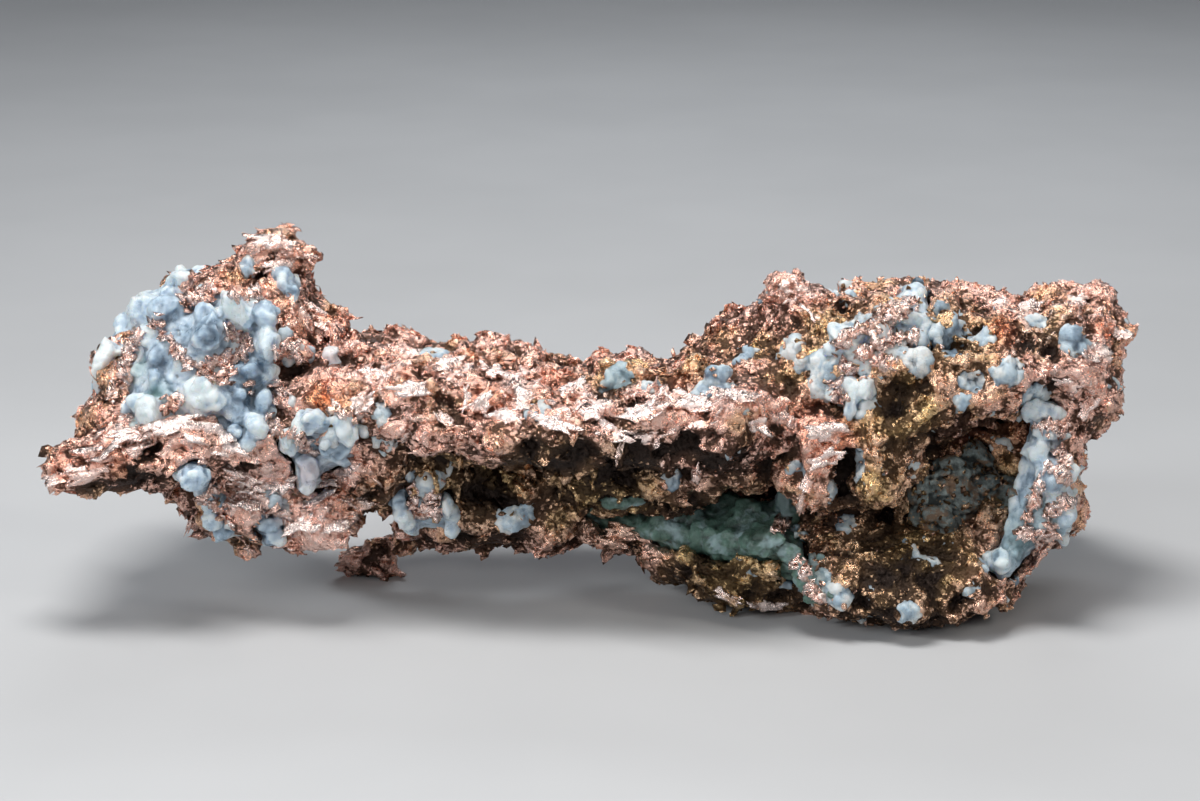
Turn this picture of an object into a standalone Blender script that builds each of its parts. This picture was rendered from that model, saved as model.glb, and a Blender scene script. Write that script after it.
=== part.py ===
"""A native copper specimen grown through with quartz, modelled as it rests on a shelf.

Metres, +Z up. +X runs along the specimen to the right of its display side, +Y away from that side.
The origin is on the ground under the middle of the specimen.

The copper is one spongy, hackly mass: a head with a snout and a horn on the left, a neck with a
sharp ledge, and a heavy lobe on the right with an open pocket in it. Quartz, green prehnite and
wall rock grow out of sockets in the copper, each cluster a solid of its own.
"""

import math
import random

import bmesh
import bpy
from mathutils import Matrix, Vector
from mathutils.bvhtree import BVHTree

MM = 0.001

# Where the display side is looked at from. Forms are placed by how they show from there:
# "across" and "up" in mm on a plane through the middle of the specimen, and a depth along +Y.
SIGHT_TILT = math.radians(16)
SIGHT_DISTANCE = 333.3
SIGHT_MIDDLE = Vector((0.0, 0.0, 20.8))
MIDDLE_UP = 22.75

GAP = 0.3  # between a crystal and its socket
GRAIN = 0.8  # voxel that melts the lumps into one skin
ROUGHNESS = (("CLOUDS", 7.0, 2.2), ("VORONOI", 3.4, 2.6))  # noise, its scale, how far it reaches
COPPER_FACES = 3200  # triangles of the copper before its sockets are cut
COPPER_SHARE = 0.58  # of the copper's triangles that stay once they are
CLUSTER_SHARE = 0.55  # of a cluster's triangles that stay once it is fused
SHARP = math.radians(35)
GROUND_BLOCK = 200  # side of the block that wears the bottom flat

# A crystal is a short barrel, and its root holds it to the others of its cluster. Each ring is
# (height, width) as shares of the half sizes, then which way it moves in height to leave a gap.
CRYSTAL_SIDES = 6
CRYSTAL_RINGS = ((-0.8, 0.95, -1), (0.9, 0.75, 1))
ROOT_RINGS = ((-1.2, 0.5, -1), (-0.6, 0.6, 1))
EXTRA_DEPTH = 0.4  # half depth of a crystal past the mean of its other half sizes
TOWARD_EYE = 1.5  # how far crystals lean from the skin's normal to the line of sight

COPPER = ("native_copper", (0.72, 0.36, 0.24), 0.35, 1.0)
QUARTZ = ("quartz", (0.70, 0.79, 0.83), 0.35, 0.0)
PREHNITE = ("prehnite", (0.33, 0.47, 0.42), 0.4, 0.0)
ROCK = ("wall_rock", (0.20, 0.24, 0.24), 0.8, 0.0)
FINISHES = {"native_copper": COPPER, "green_prehnite": PREHNITE, "vug_rock": ROCK}  # the rest is quartz

# Each lump: across, up, depth, half sizes along X, Y and Z, all in mm, then its lean in degrees
# about Y, positive with its right end down.
COPPER_LUMPS = {
    "head": [
        (-36.4, 27.8, 2, 8.6, 9.5, 8.2, 0),  # the body of the head
        (-43.2, 26.6, 4, 5, 8.5, 5.6, -35),
        (-39.5, 22.8, 0, 9.2, 9, 5.6, 0),
        (-48.1, 24.0, 1, 2.4, 5.5, 5.2, 15),  # left rim
        (-34.8, 32.8, 3, 4.4, 6.5, 4.6, 0),
        (-33.2, 37.2, 4, 3.2, 3.6, 1.9, -8),  # horn
        (-30.6, 38.2, 3.5, 2.3, 2, 1, 8),
        (-29.4, 37.4, 3, 0.9, 1.2, 1.4, 20),  # beak
        (-31.6, 35.0, 3, 2.6, 4.6, 3, 0),
        (-29.8, 32.0, 2, 2.4, 5, 3.6, -10),
        (-28.2, 29.4, 1.5, 2.4, 4, 2.8, 0),
        (-25.8, 30.0, 1, 1.1, 1.3, 1.6, 0),
        (-25.5, 26.6, 0, 3, 5, 2.4, 0),
    ],
    "snout": [
        (-31.5, 19.8, -3, 6, 6, 5, 0),
        (-36.5, 18.8, -5, 7, 6, 4, -3),
        (-42.0, 18.3, -7, 6.5, 5.5, 3.4, -5),
        (-47.0, 17.6, -8, 5.5, 5, 3, -12),
        (-51.0, 16.3, -9, 3.8, 4, 2.3, -15),
        (-53.4, 16.4, -9, 1.5, 2.5, 1.7, 0),
        (-52.2, 14.9, -9, 2, 2.5, 1.2, 0),
        (-51.0, 20.3, -6, 1.3, 1.8, 1.7, 0),
        (-49.4, 19.8, -6, 2, 3, 2, 0),
    ],
    "chin": [
        (-33.5, 13.8, -1, 7, 7, 5, 0),
        (-37.5, 12.3, 0, 4, 6, 3.5, 20),
        (-35.0, 8.8, 1, 2, 2.5, 1.3, 0),
        (-28.5, 12.3, -2, 4, 6, 4, -15),
        (-29.2, 9.8, -1.5, 2.5, 3, 1.4, 0),
    ],
    "neck": [
        (-25.0, 22.6, -2, 7, 9, 5.2, 0),
        (-21.5, 27.4, 1, 3, 5, 2, 0),
        (-17.0, 23.6, -1, 7, 10, 4.8, 0),
        (-12.5, 26.1, 1, 4, 6, 2, 0),
        (-8.0, 25.8, 1, 3.2, 6, 2, 0),
        (-10.0, 22.5, -2, 8, 10.5, 5, 0),
        (-2.5, 21.6, -3, 8, 10.5, 4.6, 3),
        (5.0, 21.6, -3.5, 8, 11, 4.4, 0),
        (12.0, 22.3, -3, 8, 12, 5, -5),
    ],
    "ledge": [
        (-15.0, 20.3, -9, 4.5, 3, 2, 0),
        (-8.0, 19.3, -10, 4.5, 3, 2, 4),
        (-1.0, 19.8, -11.5, 4.5, 3, 1.6, 5),
        (6.0, 20.6, -12.5, 5, 3, 1.5, -3),
        (13.5, 21.6, -12.5, 4, 3, 1.6, -8),
    ],
    "underside": [
        (-23.0, 17.3, -1, 5, 7, 4, 0),
        (-17.0, 15.8, 1, 6, 7, 4.5, 0),
        (-12.0, 12.8, 2, 5, 6, 4, 0),
        (-6.0, 13.0, 2, 4.5, 6, 5, 0),
        (-4.8, 9.6, 2, 1.5, 2, 1.4, 0),
        (-17.0, 10.3, 2, 4, 5, 1.8, 0),
        (0.0, 16.3, 1.5, 6, 7.5, 3.6, 0),
        (7.0, 16.3, 1, 6, 8, 3.6, 0),
        (13.0, 17.8, 0, 5, 9, 3.6, 0),
    ],
    "stub": [
        (-23.8, 5.6, 6, 2.2, 1.9, 1.3, 12),
        (-25.1, 6.6, 6, 1.3, 1.5, 1.2, 0),
        (-23.0, 7.2, 6, 1.6, 1.6, 2, 0),
        (-21.5, 8.5, 5.5, 1.9, 1.7, 1.5, -30),
        (-19.5, 9.6, 4.5, 2.4, 2.4, 1.8, -20),
    ],
    "shoulder": [
        (23.0, 26.8, 2, 8, 12, 6.5, 0),
        (16.0, 27.6, 3, 4.5, 9, 4.5, -35),
        (30.0, 28.3, 2, 10, 13, 6, 0),
        (38.0, 28.3, 2, 9, 12.5, 5, 0),
        (46.0, 27.8, 1, 6, 10, 5.5, 0),
        (48.8, 31.6, 3, 2.9, 4, 2.9, 0),
        (50.6, 28.3, 1, 2, 4, 2.6, 20),
        (52.5, 30.0, 1, 1.2, 1.2, 0.9, -10),
        (48.5, 23.3, -1, 3.6, 7, 4.2, 0),
        (43.0, 31.8, 2, 1.7, 3, 1.9, 0),
        (37.0, 32.3, 2, 2.7, 4, 1.9, 0),
        (26.5, 32.6, 3, 3, 4, 2.2, 0),
        (31.4, 32.8, 3, 2.6, 3, 2, 0),
    ],
    "knob": [
        (19.0, 34.0, 2, 1.9, 1.8, 1.7, 0),
        (20.3, 33.1, 1.8, 1.6, 1.8, 2, 0),
        (20.0, 30.3, 1, 2.4, 3, 3.2, 0),
    ],
    "lobe": [
        (22.0, 18.3, -5, 4, 8, 6.5, 0),
        (27.2, 19.8, -4, 4.6, 10, 7, 0),
        (34.0, 23.0, -4, 8, 9.5, 4, -8),
        (30.0, 14.8, 4, 12, 9, 11, 0),
        (40.0, 15.8, 5, 8, 8, 9, 0),
        (44.0, 12.8, 2, 3.5, 7, 6, 0),
        (30.0, 17.8, 10, 13, 8, 11, 0),
        (45.2, 15.0, -6, 2.6, 4, 8, 0),  # right rim of the pocket
    ],
    "base": [
        (28.0, 5.3, -5, 8.5, 10, 4.5, 0),
        (36.0, 5.8, -5, 7.5, 9, 4.5, 0),
        (40.2, 8.7, -3, 4.6, 7, 4, 0),
        (23.0, 6.8, -3, 5, 8, 4, 20),
        (17.0, 7.3, -1, 7, 8, 4.5, 10),
        (11.5, 6.8, 0, 5.5, 7, 3.4, 15),
        (7.5, 7.6, 1, 3, 4, 2.2, 20),
        (1.2, 10.1, 3, 3.4, 4, 1.5, 5),
        (14.0, 3.1, -5, 3.5, 3, 1, 12),
    ],
    "back": [
        (-38.5, 28.8, 10, 7, 5, 7, 0),
        (-35.5, 19.8, 6, 9, 6, 6, 10),
        (-18.0, 22.8, 8, 8, 4, 5, 0),
        (-4.0, 21.8, 8, 9, 4, 5.5, -4),
        (9.0, 19.8, 9, 9, 4.5, 6.5, 0),
        (14.5, 14.8, 9, 7, 4.5, 6, 0),
        (2.0, 14.8, 8, 6, 4, 4, -8),
        (20.0, 22.8, 13, 7, 5, 8, 15),
        (33.0, 26.8, 15, 9, 4, 5, 0),
        (42.0, 20.8, 12, 6, 5, 7, 0),
        (30.0, 10.8, 11, 9, 6, 6, 0),
        (22.0, 8.8, 8, 6, 5, 4, -10),
    ],
}

# The open pocket in the lobe and the slot beside it, hollowed out of the copper.
HOLLOWS = [
    (35.5, 14.6, -13, 5.6, 9, 6.3, -15),
    (38.5, 18.6, -13, 3.6, 8, 3.6, 0),
    (32.8, 12.0, -13, 3.6, 8, 4, 0),
    (24.8, 13.6, -14, 1.7, 8, 4.5, 8),
]

# Each crystal: across, up, half width, half height in mm, its turn in degrees, and a depth where
# it grows past the edge of the copper. A back_ cluster is dropped on the copper from behind.
CRYSTALS = {
    "head_quartz": [
        (-45.0, 31.6, 2.7, 2.1, 20, 5),
        (-42.6, 30.3, 2, 2.1, 0),
        (-44.8, 29.2, 1.5, 1.5, 0),
        (-48.8, 27.2, 1.1, 3.1, -25, 4),
        (-50.1, 24.0, 0.8, 2, -8, 4),
        (-41.8, 34.4, 1.9, 1.5, 0, 6),
        (-39.7, 35.2, 1.7, 1.1, 0, 5),
        (-43.0, 33.0, 1.1, 1.3, 0),
        (-39.5, 31.0, 1.3, 1.6, 0),
        (-39.3, 29.0, 1.8, 1.5, 0),
        (-36.4, 31.6, 1.4, 2.4, 40),
        (-33.8, 31.3, 1.5, 1.6, 0),
        (-33.4, 28.4, 1.1, 1.9, 0),
        (-43.8, 27.0, 1.6, 1.4, 0),
        (-42.1, 25.8, 1.4, 1.5, 0),
        (-44.0, 24.4, 1.5, 1.5, 0),
        (-45.7, 22.5, 2, 1.2, 0),
        (-45.2, 20.8, 1.3, 1.3, 20),
        (-40.2, 23.2, 1.6, 2.1, 0),
        (-38.3, 22.6, 1.1, 1.3, 0),
        (-37.5, 24.4, 1.7, 0.9, 0),
        (-35.9, 23.6, 1.3, 1.2, 0),
        (-36.4, 21.7, 1.3, 1.2, 0),
        (-34.8, 25.8, 1.4, 1, 0),
        (-33.2, 25.4, 1, 1.3, 0),
        (-33.7, 22.4, 1.1, 1.7, -8),
        (-34.4, 20.3, 1.1, 1.3, 25),
    ],
    "neck_quartz": [
        (-28.8, 20.4, 1.6, 1.3, 0),
        (-31.1, 18.5, 1, 1.4, 0),
        (-25.4, 19.8, 1, 2, 0),
        (-25.6, 17.2, 1.2, 1.2, 0),
        (-29.2, 15.8, 1.2, 2.8, -5),
    ],
    "throat_quartz": [
        (-40.7, 15.2, 1.6, 1.5, 30),
        (-39.2, 14.2, 1.4, 1.4, 0),
        (-38.4, 10.8, 1.5, 1.2, 0),
        (-37.5, 9.7, 1.4, 1, 25),
    ],
    "belly_quartz": [
        (-33.1, 12.8, 1.1, 1.2, 0),
        (-31.4, 11.7, 1, 1.4, 0),
        (-33.4, 10.5, 1.3, 1, 0),
        (-32.4, 9.1, 1.4, 1.1, 0),
    ],
    "under_neck_quartz": [
        (-20.2, 12.8, 1.1, 1, 0),
        (-19.2, 11.0, 1, 1.6, 10),
        (-15.4, 12.3, 0.7, 1.5, 0),
        (-14.7, 10.3, 1, 1.2, 0),
    ],
    "slope_quartz": [
        (13.5, 27.8, 1, 1.3, -25, 7),
        (15.0, 28.6, 1.4, 1.4, 0, 6),
        (11.8, 26.9, 1, 0.7, -10, 5),
    ],
    "ridge_quartz": [
        (25.2, 29.0, 1.9, 1.1, 25),
        (23.6, 27.8, 1.7, 0.9, 15),
        (28.0, 29.2, 1, 1.8, 0),
        (29.3, 31.3, 2.2, 1.2, 15),
        (31.4, 31.7, 1.6, 1.3, 0),
        (32.6, 30.2, 1.2, 1.2, 0),
        (31.9, 28.7, 1.1, 1.2, 0),
        (31.6, 33.5, 1.5, 1.1, 0, 2),
    ],
    "column_quartz": [
        (23.2, 23.4, 1, 1, 0),
        (24.8, 24.4, 1.3, 0.9, 0),
        (25.3, 22.6, 0.8, 1.8, 0),
        (26.6, 24.0, 1, 1.4, 10),
    ],
    "flank_quartz": [
        (44.0, 21.8, 1.7, 1.2, 0),
        (44.7, 19.6, 1.6, 1, 0),
        (43.8, 17.6, 1.6, 1.5, 0),
        (45.0, 15.0, 1.6, 1.8, 0),
        (46.9, 15.4, 1, 1.9, 0, -1),
        (46.1, 12.6, 1.5, 2, 0),
        (45.0, 10.3, 1.9, 1.3, 0),
        (43.0, 9.0, 1.9, 0.9, 20),
        (40.1, 6.6, 1.3, 1.4, 0),
    ],
    "green_prehnite": [
        (-0.8, 12.0, 1.9, 1, 0),
        (2.0, 11.4, 1.7, 1.1, 0),
        (4.5, 12.0, 1.9, 1.5, 0),
        (6.8, 10.8, 2.1, 1.8, 0),
        (9.4, 11.8, 1.7, 1.3, 0),
        (12.0, 11.4, 1.9, 1.7, 0),
        (14.8, 11.0, 1.8, 2, 0),
        (16.5, 8.5, 2, 1.6, 0),
        (18.5, 11.6, 1, 2.4, 0),
        (19.0, 7.5, 1.6, 1, 0),
        (20.4, 5.4, 1, 1.6, 15),
    ],
    "vug_rock": [
        (41.8, 13.6, 1.6, 1.5, 15),
        (39.6, 14.4, 1.1, 1.2, 0),
        (37.5, 17.6, 1.7, 1.3, 0),
        (35.0, 15.6, 2.2, 1.9, 0),
        (32.5, 14.3, 1.9, 2, 0),
        (32.4, 11.6, 2.2, 1.9, 0),
        (36.2, 13.1, 1.8, 1.5, 0),
        (34.8, 10.3, 1.4, 1, 0),
        (37.8, 15.0, 1.5, 1.4, 0),
    ],
    "back_head_quartz": [
        (-45.0, 29.8, 2.4, 2, 10),
        (-42.2, 28.3, 2.2, 2.4, 0),
        (-39.5, 29.8, 1.8, 1.6, 20),
        (-43.5, 25.3, 2.2, 1.8, -15),
        (-40.5, 25.6, 1.6, 2, 0),
        (-37.5, 27.3, 1.5, 1.5, 30),
    ],
    "back_lobe_quartz": [
        (41.0, 22.8, 2.2, 1.8, 0),
        (44.0, 24.3, 1.6, 2, 15),
        (43.5, 20.8, 2.4, 2, -10),
        (40.0, 19.8, 1.6, 1.6, 0),
        (46.0, 18.3, 1.8, 2.2, 0),
        (42.5, 17.3, 1.8, 1.5, 20),
    ],
}

# Lone grains, each grown fast in the copper skin.
GRAINS = [
    (-30.4, 27.6, 1.4, 1.1, 0),
    (-27.1, 27.0, 1.2, 1.1, 0),
    (-9.2, 10.8, 1.4, 1.2, 0),
    (1.8, 24.4, 1.5, 1.1, 0),
    (3.3, 24.9, 1.2, 1, 0),
    (11.7, 24.7, 1.7, 1.1, 0),
    (23.8, 33.1, 1.3, 0.9, 0),
    (36.6, 28.8, 1.5, 0.7, 0),
    (38.9, 29.5, 0.7, 1.5, 0),
    (47.6, 28.9, 1.5, 1.1, 0),
    (28.5, 25.0, 1.1, 1, 0),
    (36.6, 26.5, 1.3, 0.9, 0),
]


def sight(across, up):
    """The eye, and the direction in which a place on the display plane is seen from it."""
    toward_eye = Vector((0, -math.cos(SIGHT_TILT), math.sin(SIGHT_TILT)))
    plane_up = Vector((0, math.sin(SIGHT_TILT), math.cos(SIGHT_TILT)))
    eye = SIGHT_MIDDLE + toward_eye * SIGHT_DISTANCE
    place = SIGHT_MIDDLE + Vector((across, 0, 0)) + plane_up * (up - MIDDLE_UP)
    return eye, (place - eye).normalized()


def seen_at(across, up, depth):
    """The point at that depth along +Y which shows at that place on the display plane."""
    eye, direction = sight(across, up)
    return eye + direction * ((depth - eye.y) / direction.y)


def new_object(name, shape):
    """A new object in the scene from a bmesh in mm, which is freed."""
    bmesh.ops.scale(shape, vec=(MM, MM, MM), verts=shape.verts)
    bmesh.ops.recalc_face_normals(shape, faces=shape.faces)
    mesh = bpy.data.meshes.new(name)
    shape.to_mesh(mesh)
    shape.free()
    made = bpy.data.objects.new(name, mesh)
    bpy.context.scene.collection.objects.link(made)
    return made


def material(slot, colour, roughness, metallic):
    made = bpy.data.materials.new(slot)
    made.use_nodes = True
    surface = made.node_tree.nodes["Principled BSDF"]
    surface.inputs["Base Color"].default_value = (*colour, 1)
    surface.inputs["Roughness"].default_value = roughness
    surface.inputs["Metallic"].default_value = metallic
    made.diffuse_color = (*colour, 1)
    return made


def bake(made):
    """Applies the object's modifiers."""
    bpy.context.view_layer.update()
    evaluated = made.evaluated_get(bpy.context.evaluated_depsgraph_get())
    mesh = bpy.data.meshes.new_from_object(evaluated)
    made.modifiers.clear()
    made.data = mesh


def boolean(made, other, operation):
    """Applies one Boolean with other, and removes other. On a skin this rough, EXACT leaves open edges."""
    step = made.modifiers.new(operation.lower(), "BOOLEAN")
    step.operation = operation
    step.object = other
    step.solver = "MANIFOLD"
    bake(made)
    bpy.data.objects.remove(other)


def keep_largest(made):
    """Drops the loose crumbs that a Boolean can leave, and keeps the body with the most corners."""
    shape = bmesh.new()
    shape.from_mesh(made.data)
    unseen = set(shape.verts)
    bodies = []
    while unseen:
        body = set()
        border = [unseen.pop()]
        while border:
            vert = border.pop()
            body.add(vert)
            fresh = {edge.other_vert(vert) for edge in vert.link_edges} & unseen
            unseen -= fresh
            border += fresh
        bodies.append(body)
    largest = max(bodies, key=len)
    crumbs = [vert for vert in shape.verts if vert not in largest]
    bmesh.ops.delete(shape, geom=crumbs, context="VERTS")
    shape.to_mesh(made.data)
    shape.free()


def lump_cloud(name, lumps):
    """All the lumps as overlapping balls in one mesh."""
    balls = bmesh.new()
    for across, up, depth, half_x, half_y, half_z, lean in lumps:
        place = Matrix.Translation(seen_at(across, up, depth))
        turn = Matrix.Rotation(math.radians(lean), 4, "Y")
        size = Matrix.Diagonal((half_x, half_y, half_z, 1))
        bmesh.ops.create_icosphere(balls, subdivisions=3, radius=1, matrix=place @ turn @ size)
    return new_object(name, balls)


def melt(made):
    """Melts overlapping balls into one closed skin."""
    step = made.modifiers.new("melt", "REMESH")
    step.mode = "VOXEL"
    step.voxel_size = GRAIN * MM
    bake(made)


def roughen(made, kind, scale, height):
    """Pushes the skin in and out by a noise of that scale and height, in mm."""
    noise = bpy.data.textures.new(f"{kind}_{scale}", kind)
    noise.noise_scale = scale * MM
    step = made.modifiers.new("roughen", "DISPLACE")
    step.texture = noise
    step.texture_coords = "LOCAL"
    step.strength = height * MM
    step.mid_level = 0.5


def thin(made, share):
    """Collapses short edges until that share of the triangles is left. On faces with more corners, a
    collapse can fold the skin."""
    triangles = made.modifiers.new("triangles", "TRIANGULATE")
    triangles.quad_method = "BEAUTY"
    collapse = made.modifiers.new("collapse", "DECIMATE")
    collapse.ratio = share
    bake(made)


def copper_mass():
    """The copper before its sockets are cut."""
    lumps = [lump for group in COPPER_LUMPS.values() for lump in group]
    copper = lump_cloud("native_copper", lumps)
    melt(copper)
    hollows = lump_cloud("hollows", HOLLOWS)
    melt(hollows)
    boolean(copper, hollows, "DIFFERENCE")
    melt(copper)
    for kind, scale, height in ROUGHNESS:
        roughen(copper, kind, scale, height)
    bake(copper)
    thin(copper, COPPER_FACES / (2 * len(copper.data.polygons)))
    keep_largest(copper)
    return copper


def wear_flat(copper):
    """Takes off what is below z = 0, which leaves the worn flats that the specimen stands on."""
    ground = bmesh.new()
    block = Matrix.Translation((0, 0, -GROUND_BLOCK / 2)) @ Matrix.Scale(GROUND_BLOCK, 4)
    bmesh.ops.create_cube(ground, size=1, matrix=block)
    boolean(copper, new_object("ground", ground), "DIFFERENCE")


def crystal_place(row, tree, from_behind):
    """Where one crystal stands, as a matrix with +Z outward, and its half sizes."""
    across, up, half_width, half_height, turn, *depth = row
    eye, direction = sight(across, up)
    if from_behind:
        eye = eye + direction * 2 * SIGHT_DISTANCE
        direction = -direction
    hit, normal, _, _ = tree.ray_cast(eye * MM, direction)
    if depth or hit is None:
        hit = seen_at(across, up, depth[0] if depth else 0) * MM
        normal = -direction
    outward = (normal - direction * TOWARD_EYE).normalized()
    side = Vector((0, 0, 1)).cross(outward).normalized()
    axes = Matrix((side, outward.cross(side), outward)).transposed().to_4x4()
    turned = Matrix.Rotation(math.radians(turn), 4, "Z")
    half_depth = (half_width + half_height) / 2 + EXTRA_DEPTH
    return Matrix.Translation(hit / MM) @ axes @ turned, (half_width, half_height, half_depth)


def ring_corners(place, half_sizes, rings, chance, grow):
    """The corners of one crystal's rings, with every half size larger by grow."""
    half_width, half_height, half_depth = half_sizes
    corners = []
    for height, width, way in rings:
        for corner in range(CRYSTAL_SIDES):
            angle = math.tau * (corner + 0.5) / CRYSTAL_SIDES
            reach = width * chance.uniform(0.95, 1.15)
            corners.append(place @ Vector((
                (half_width * reach + grow) * math.cos(angle),
                (half_height * reach + grow) * math.sin(angle),
                half_depth * (height + chance.uniform(-0.05, 0.05)) + grow * way,
            )))
    return corners


def hulls(name, rows, tree, grow=0.0):
    """The corners of each crystal of a cluster, and those of the common root that joins them."""
    chance = random.Random(name)
    bodies = []
    root = []
    for row in rows:
        place, half_sizes = crystal_place(row, tree, name.startswith("back_"))
        bodies.append(ring_corners(place, half_sizes, CRYSTAL_RINGS, chance, grow))
        root += ring_corners(place, half_sizes, ROOT_RINGS, chance, grow)
    return bodies, root


def hull_object(name, corners):
    shape = bmesh.new()
    for corner in corners:
        shape.verts.new(corner)
    made = bmesh.ops.convex_hull(shape, input=shape.verts)
    inside = set(made["geom_interior"]) | set(made["geom_unused"])
    spare = [part for part in inside if isinstance(part, bmesh.types.BMVert)]
    bmesh.ops.delete(shape, geom=spare, context="VERTS")
    return new_object(name, shape)


def overlap(one, other):
    graph = bpy.context.evaluated_depsgraph_get()
    trees = [BVHTree.FromObject(made, graph) for made in (one, other)]
    return bool(trees[0].overlap(trees[1]))


def cut(made, name, rows, tree):
    """Cuts the sockets of a cluster out of another solid."""
    bodies, root = hulls(name, rows, tree, GAP)
    for corners in [*bodies, root]:
        boolean(made, hull_object("socket", corners), "DIFFERENCE")


def stand_on_origin(made):
    """Moves all the solids so that the origin is on the ground under the middle of their box."""
    corners = [vert.co for one in made for vert in one.data.vertices]
    low, high = (Vector(pick(point[axis] for point in corners) for axis in range(3)) for pick in (min, max))
    shift = Vector((-(low.x + high.x) / 2, -(low.y + high.y) / 2, -low.z))
    for one in made:
        one.data.transform(Matrix.Translation(shift))
    print(f"moved by {1000 * shift} mm to stand on the origin; size {1000 * (high - low)}")


def paint(pieces):
    """Gives each solid its material, and sharp edges between its facets."""
    materials = {finish[0]: material(*finish) for finish in (COPPER, QUARTZ, PREHNITE, ROCK)}
    for piece in pieces:
        finish = FINISHES.get(piece.name, QUARTZ)
        piece.data.materials.clear()
        piece.data.materials.append(materials[finish[0]])
        piece.data.set_sharp_from_angle(angle=SHARP)


def main():
    for old in list(bpy.data.objects):
        bpy.data.objects.remove(old)
    copper = copper_mass()
    tree = BVHTree.FromObject(copper, bpy.context.evaluated_depsgraph_get())
    for corners in hulls("grains", GRAINS, tree)[0]:
        boolean(copper, hull_object("grain", corners), "UNION")
    clusters = []
    for name, rows in CRYSTALS.items():
        bodies, root = hulls(name, rows, tree)
        grown = hull_object(name, root)
        for corners in bodies:
            boolean(grown, hull_object("crystal", corners), "UNION")
        for earlier in clusters:
            if overlap(grown, earlier):
                cut(grown, earlier.name, CRYSTALS[earlier.name], tree)
        cut(copper, name, rows, tree)
        thin(grown, CLUSTER_SHARE)
        clusters.append(grown)
    thin(copper, COPPER_SHARE)
    wear_flat(copper)
    pieces = [copper, *clusters]
    for piece in pieces:
        keep_largest(piece)
    stand_on_origin(pieces)
    paint(pieces)


main()
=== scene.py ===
import math
import bmesh
import bpy
import numpy as np
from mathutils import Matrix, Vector
from mathutils.bvhtree import BVHTree


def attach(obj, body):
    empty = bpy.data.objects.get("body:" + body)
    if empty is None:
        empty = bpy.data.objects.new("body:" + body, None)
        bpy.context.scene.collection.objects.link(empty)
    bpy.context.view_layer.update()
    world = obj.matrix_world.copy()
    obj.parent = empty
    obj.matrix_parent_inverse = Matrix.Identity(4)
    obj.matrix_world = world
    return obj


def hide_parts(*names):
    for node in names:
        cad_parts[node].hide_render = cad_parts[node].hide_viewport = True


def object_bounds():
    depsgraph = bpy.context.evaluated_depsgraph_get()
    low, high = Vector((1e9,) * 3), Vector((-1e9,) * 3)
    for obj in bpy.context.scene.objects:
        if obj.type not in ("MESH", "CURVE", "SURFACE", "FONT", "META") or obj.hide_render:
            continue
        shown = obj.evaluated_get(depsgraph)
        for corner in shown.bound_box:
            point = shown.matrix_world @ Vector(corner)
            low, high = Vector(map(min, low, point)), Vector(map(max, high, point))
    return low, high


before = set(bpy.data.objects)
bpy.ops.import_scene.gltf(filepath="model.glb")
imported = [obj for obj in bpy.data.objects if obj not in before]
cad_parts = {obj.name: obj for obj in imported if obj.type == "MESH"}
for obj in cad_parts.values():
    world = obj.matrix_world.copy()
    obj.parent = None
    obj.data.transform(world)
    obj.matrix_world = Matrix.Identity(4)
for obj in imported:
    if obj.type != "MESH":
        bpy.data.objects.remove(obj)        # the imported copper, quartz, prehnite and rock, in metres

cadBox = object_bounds()
mm = 0.001

margin = np.array((1.3, 0.45, 0.5))        # how far, in mm, the dressed piece may stand past the solids
lowest, highest = (np.array([1000 * value for value in corner]) for corner in cadBox)
limits = ((lowest - margin) * (1, 1, 0), highest + margin)
seeds = {"copper": 7, "clusters": 100, "headGrains": 200, "leaves": 400}

# The display side is looked at from here, tilted down by some degrees. A place on it is given by how it shows:
# across and up, in mm on a plane through the aim.
sight = {"tilt": 16.0, "distance": 333.3, "aim": (0.5, -1.431, 20.8), "aimUp": 22.75, "lens": 100, "film": 36}


def unit(way):
    # a direction, or each row of an array of them, divided by its length
    return way / (np.linalg.norm(way) if way.ndim == 1 else np.linalg.norm(way, axis=1, keepdims=True))


def eyeAndPlane():
    # the eye is the aim plus the direction toward the viewer times the distance; the plane rises square to it
    tilt = math.radians(sight["tilt"])
    towardEye = np.array((0, -math.cos(tilt), math.sin(tilt)))
    planeUp = np.array((0, math.sin(tilt), math.cos(tilt)))
    return np.array(sight["aim"]) + towardEye * sight["distance"], planeUp


def sightLine(across, up):
    # the eye, and the unit vector from it to the place on the display plane
    eye, planeUp = eyeAndPlane()
    place = np.array(sight["aim"]) + (across, 0, 0) + planeUp * (up - sight["aimUp"])
    return eye, unit(place - eye)


# noise and surfaces, worked out on whole arrays of points in mm


def eased(share):
    # 0 to 1, level at both ends: three times the square less twice the cube
    return share * share * (3 - 2 * share)


def ramp(values, low, high):
    # 0 to 1 as the values go from low to high, eased
    return eased(np.clip((values - low) / (high - low), 0, 1))


def hashed(cells, seed):
    # a number from 0 to 1 for each whole-number cell: its three numbers times large primes, mixed by shifts
    n = cells[..., 0] * 73856093 ^ cells[..., 1] * 19349663 ^ cells[..., 2] * 83492791 ^ seed * 40503
    n = ((n ^ (n >> 13)) * 1274126177) & 0xFFFFFFFF
    n = ((n ^ (n >> 15)) * 668265263) & 0xFFFFFFFF
    return ((n ^ (n >> 16)) & 0xFFFFFF) / 0xFFFFFF


def clouds(points, size, seed):
    # value noise from -1 to 1: random numbers at the corners of boxes of that size, blended by an eased share
    at = points / size
    cell = np.floor(at).astype(np.int64)
    share = eased(at - cell)
    total = 0
    for corner in np.ndindex(2, 2, 2):
        weight = np.prod(np.where(corner, share, 1 - share), axis=-1)
        total = total + weight * hashed(cell + np.array(corner), seed)
    return 2 * total - 1


def soft(points, layers):
    # a sum of noises, each times its depth
    return sum(depth * clouds(points, size, seed) for size, depth, seed in layers)


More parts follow.
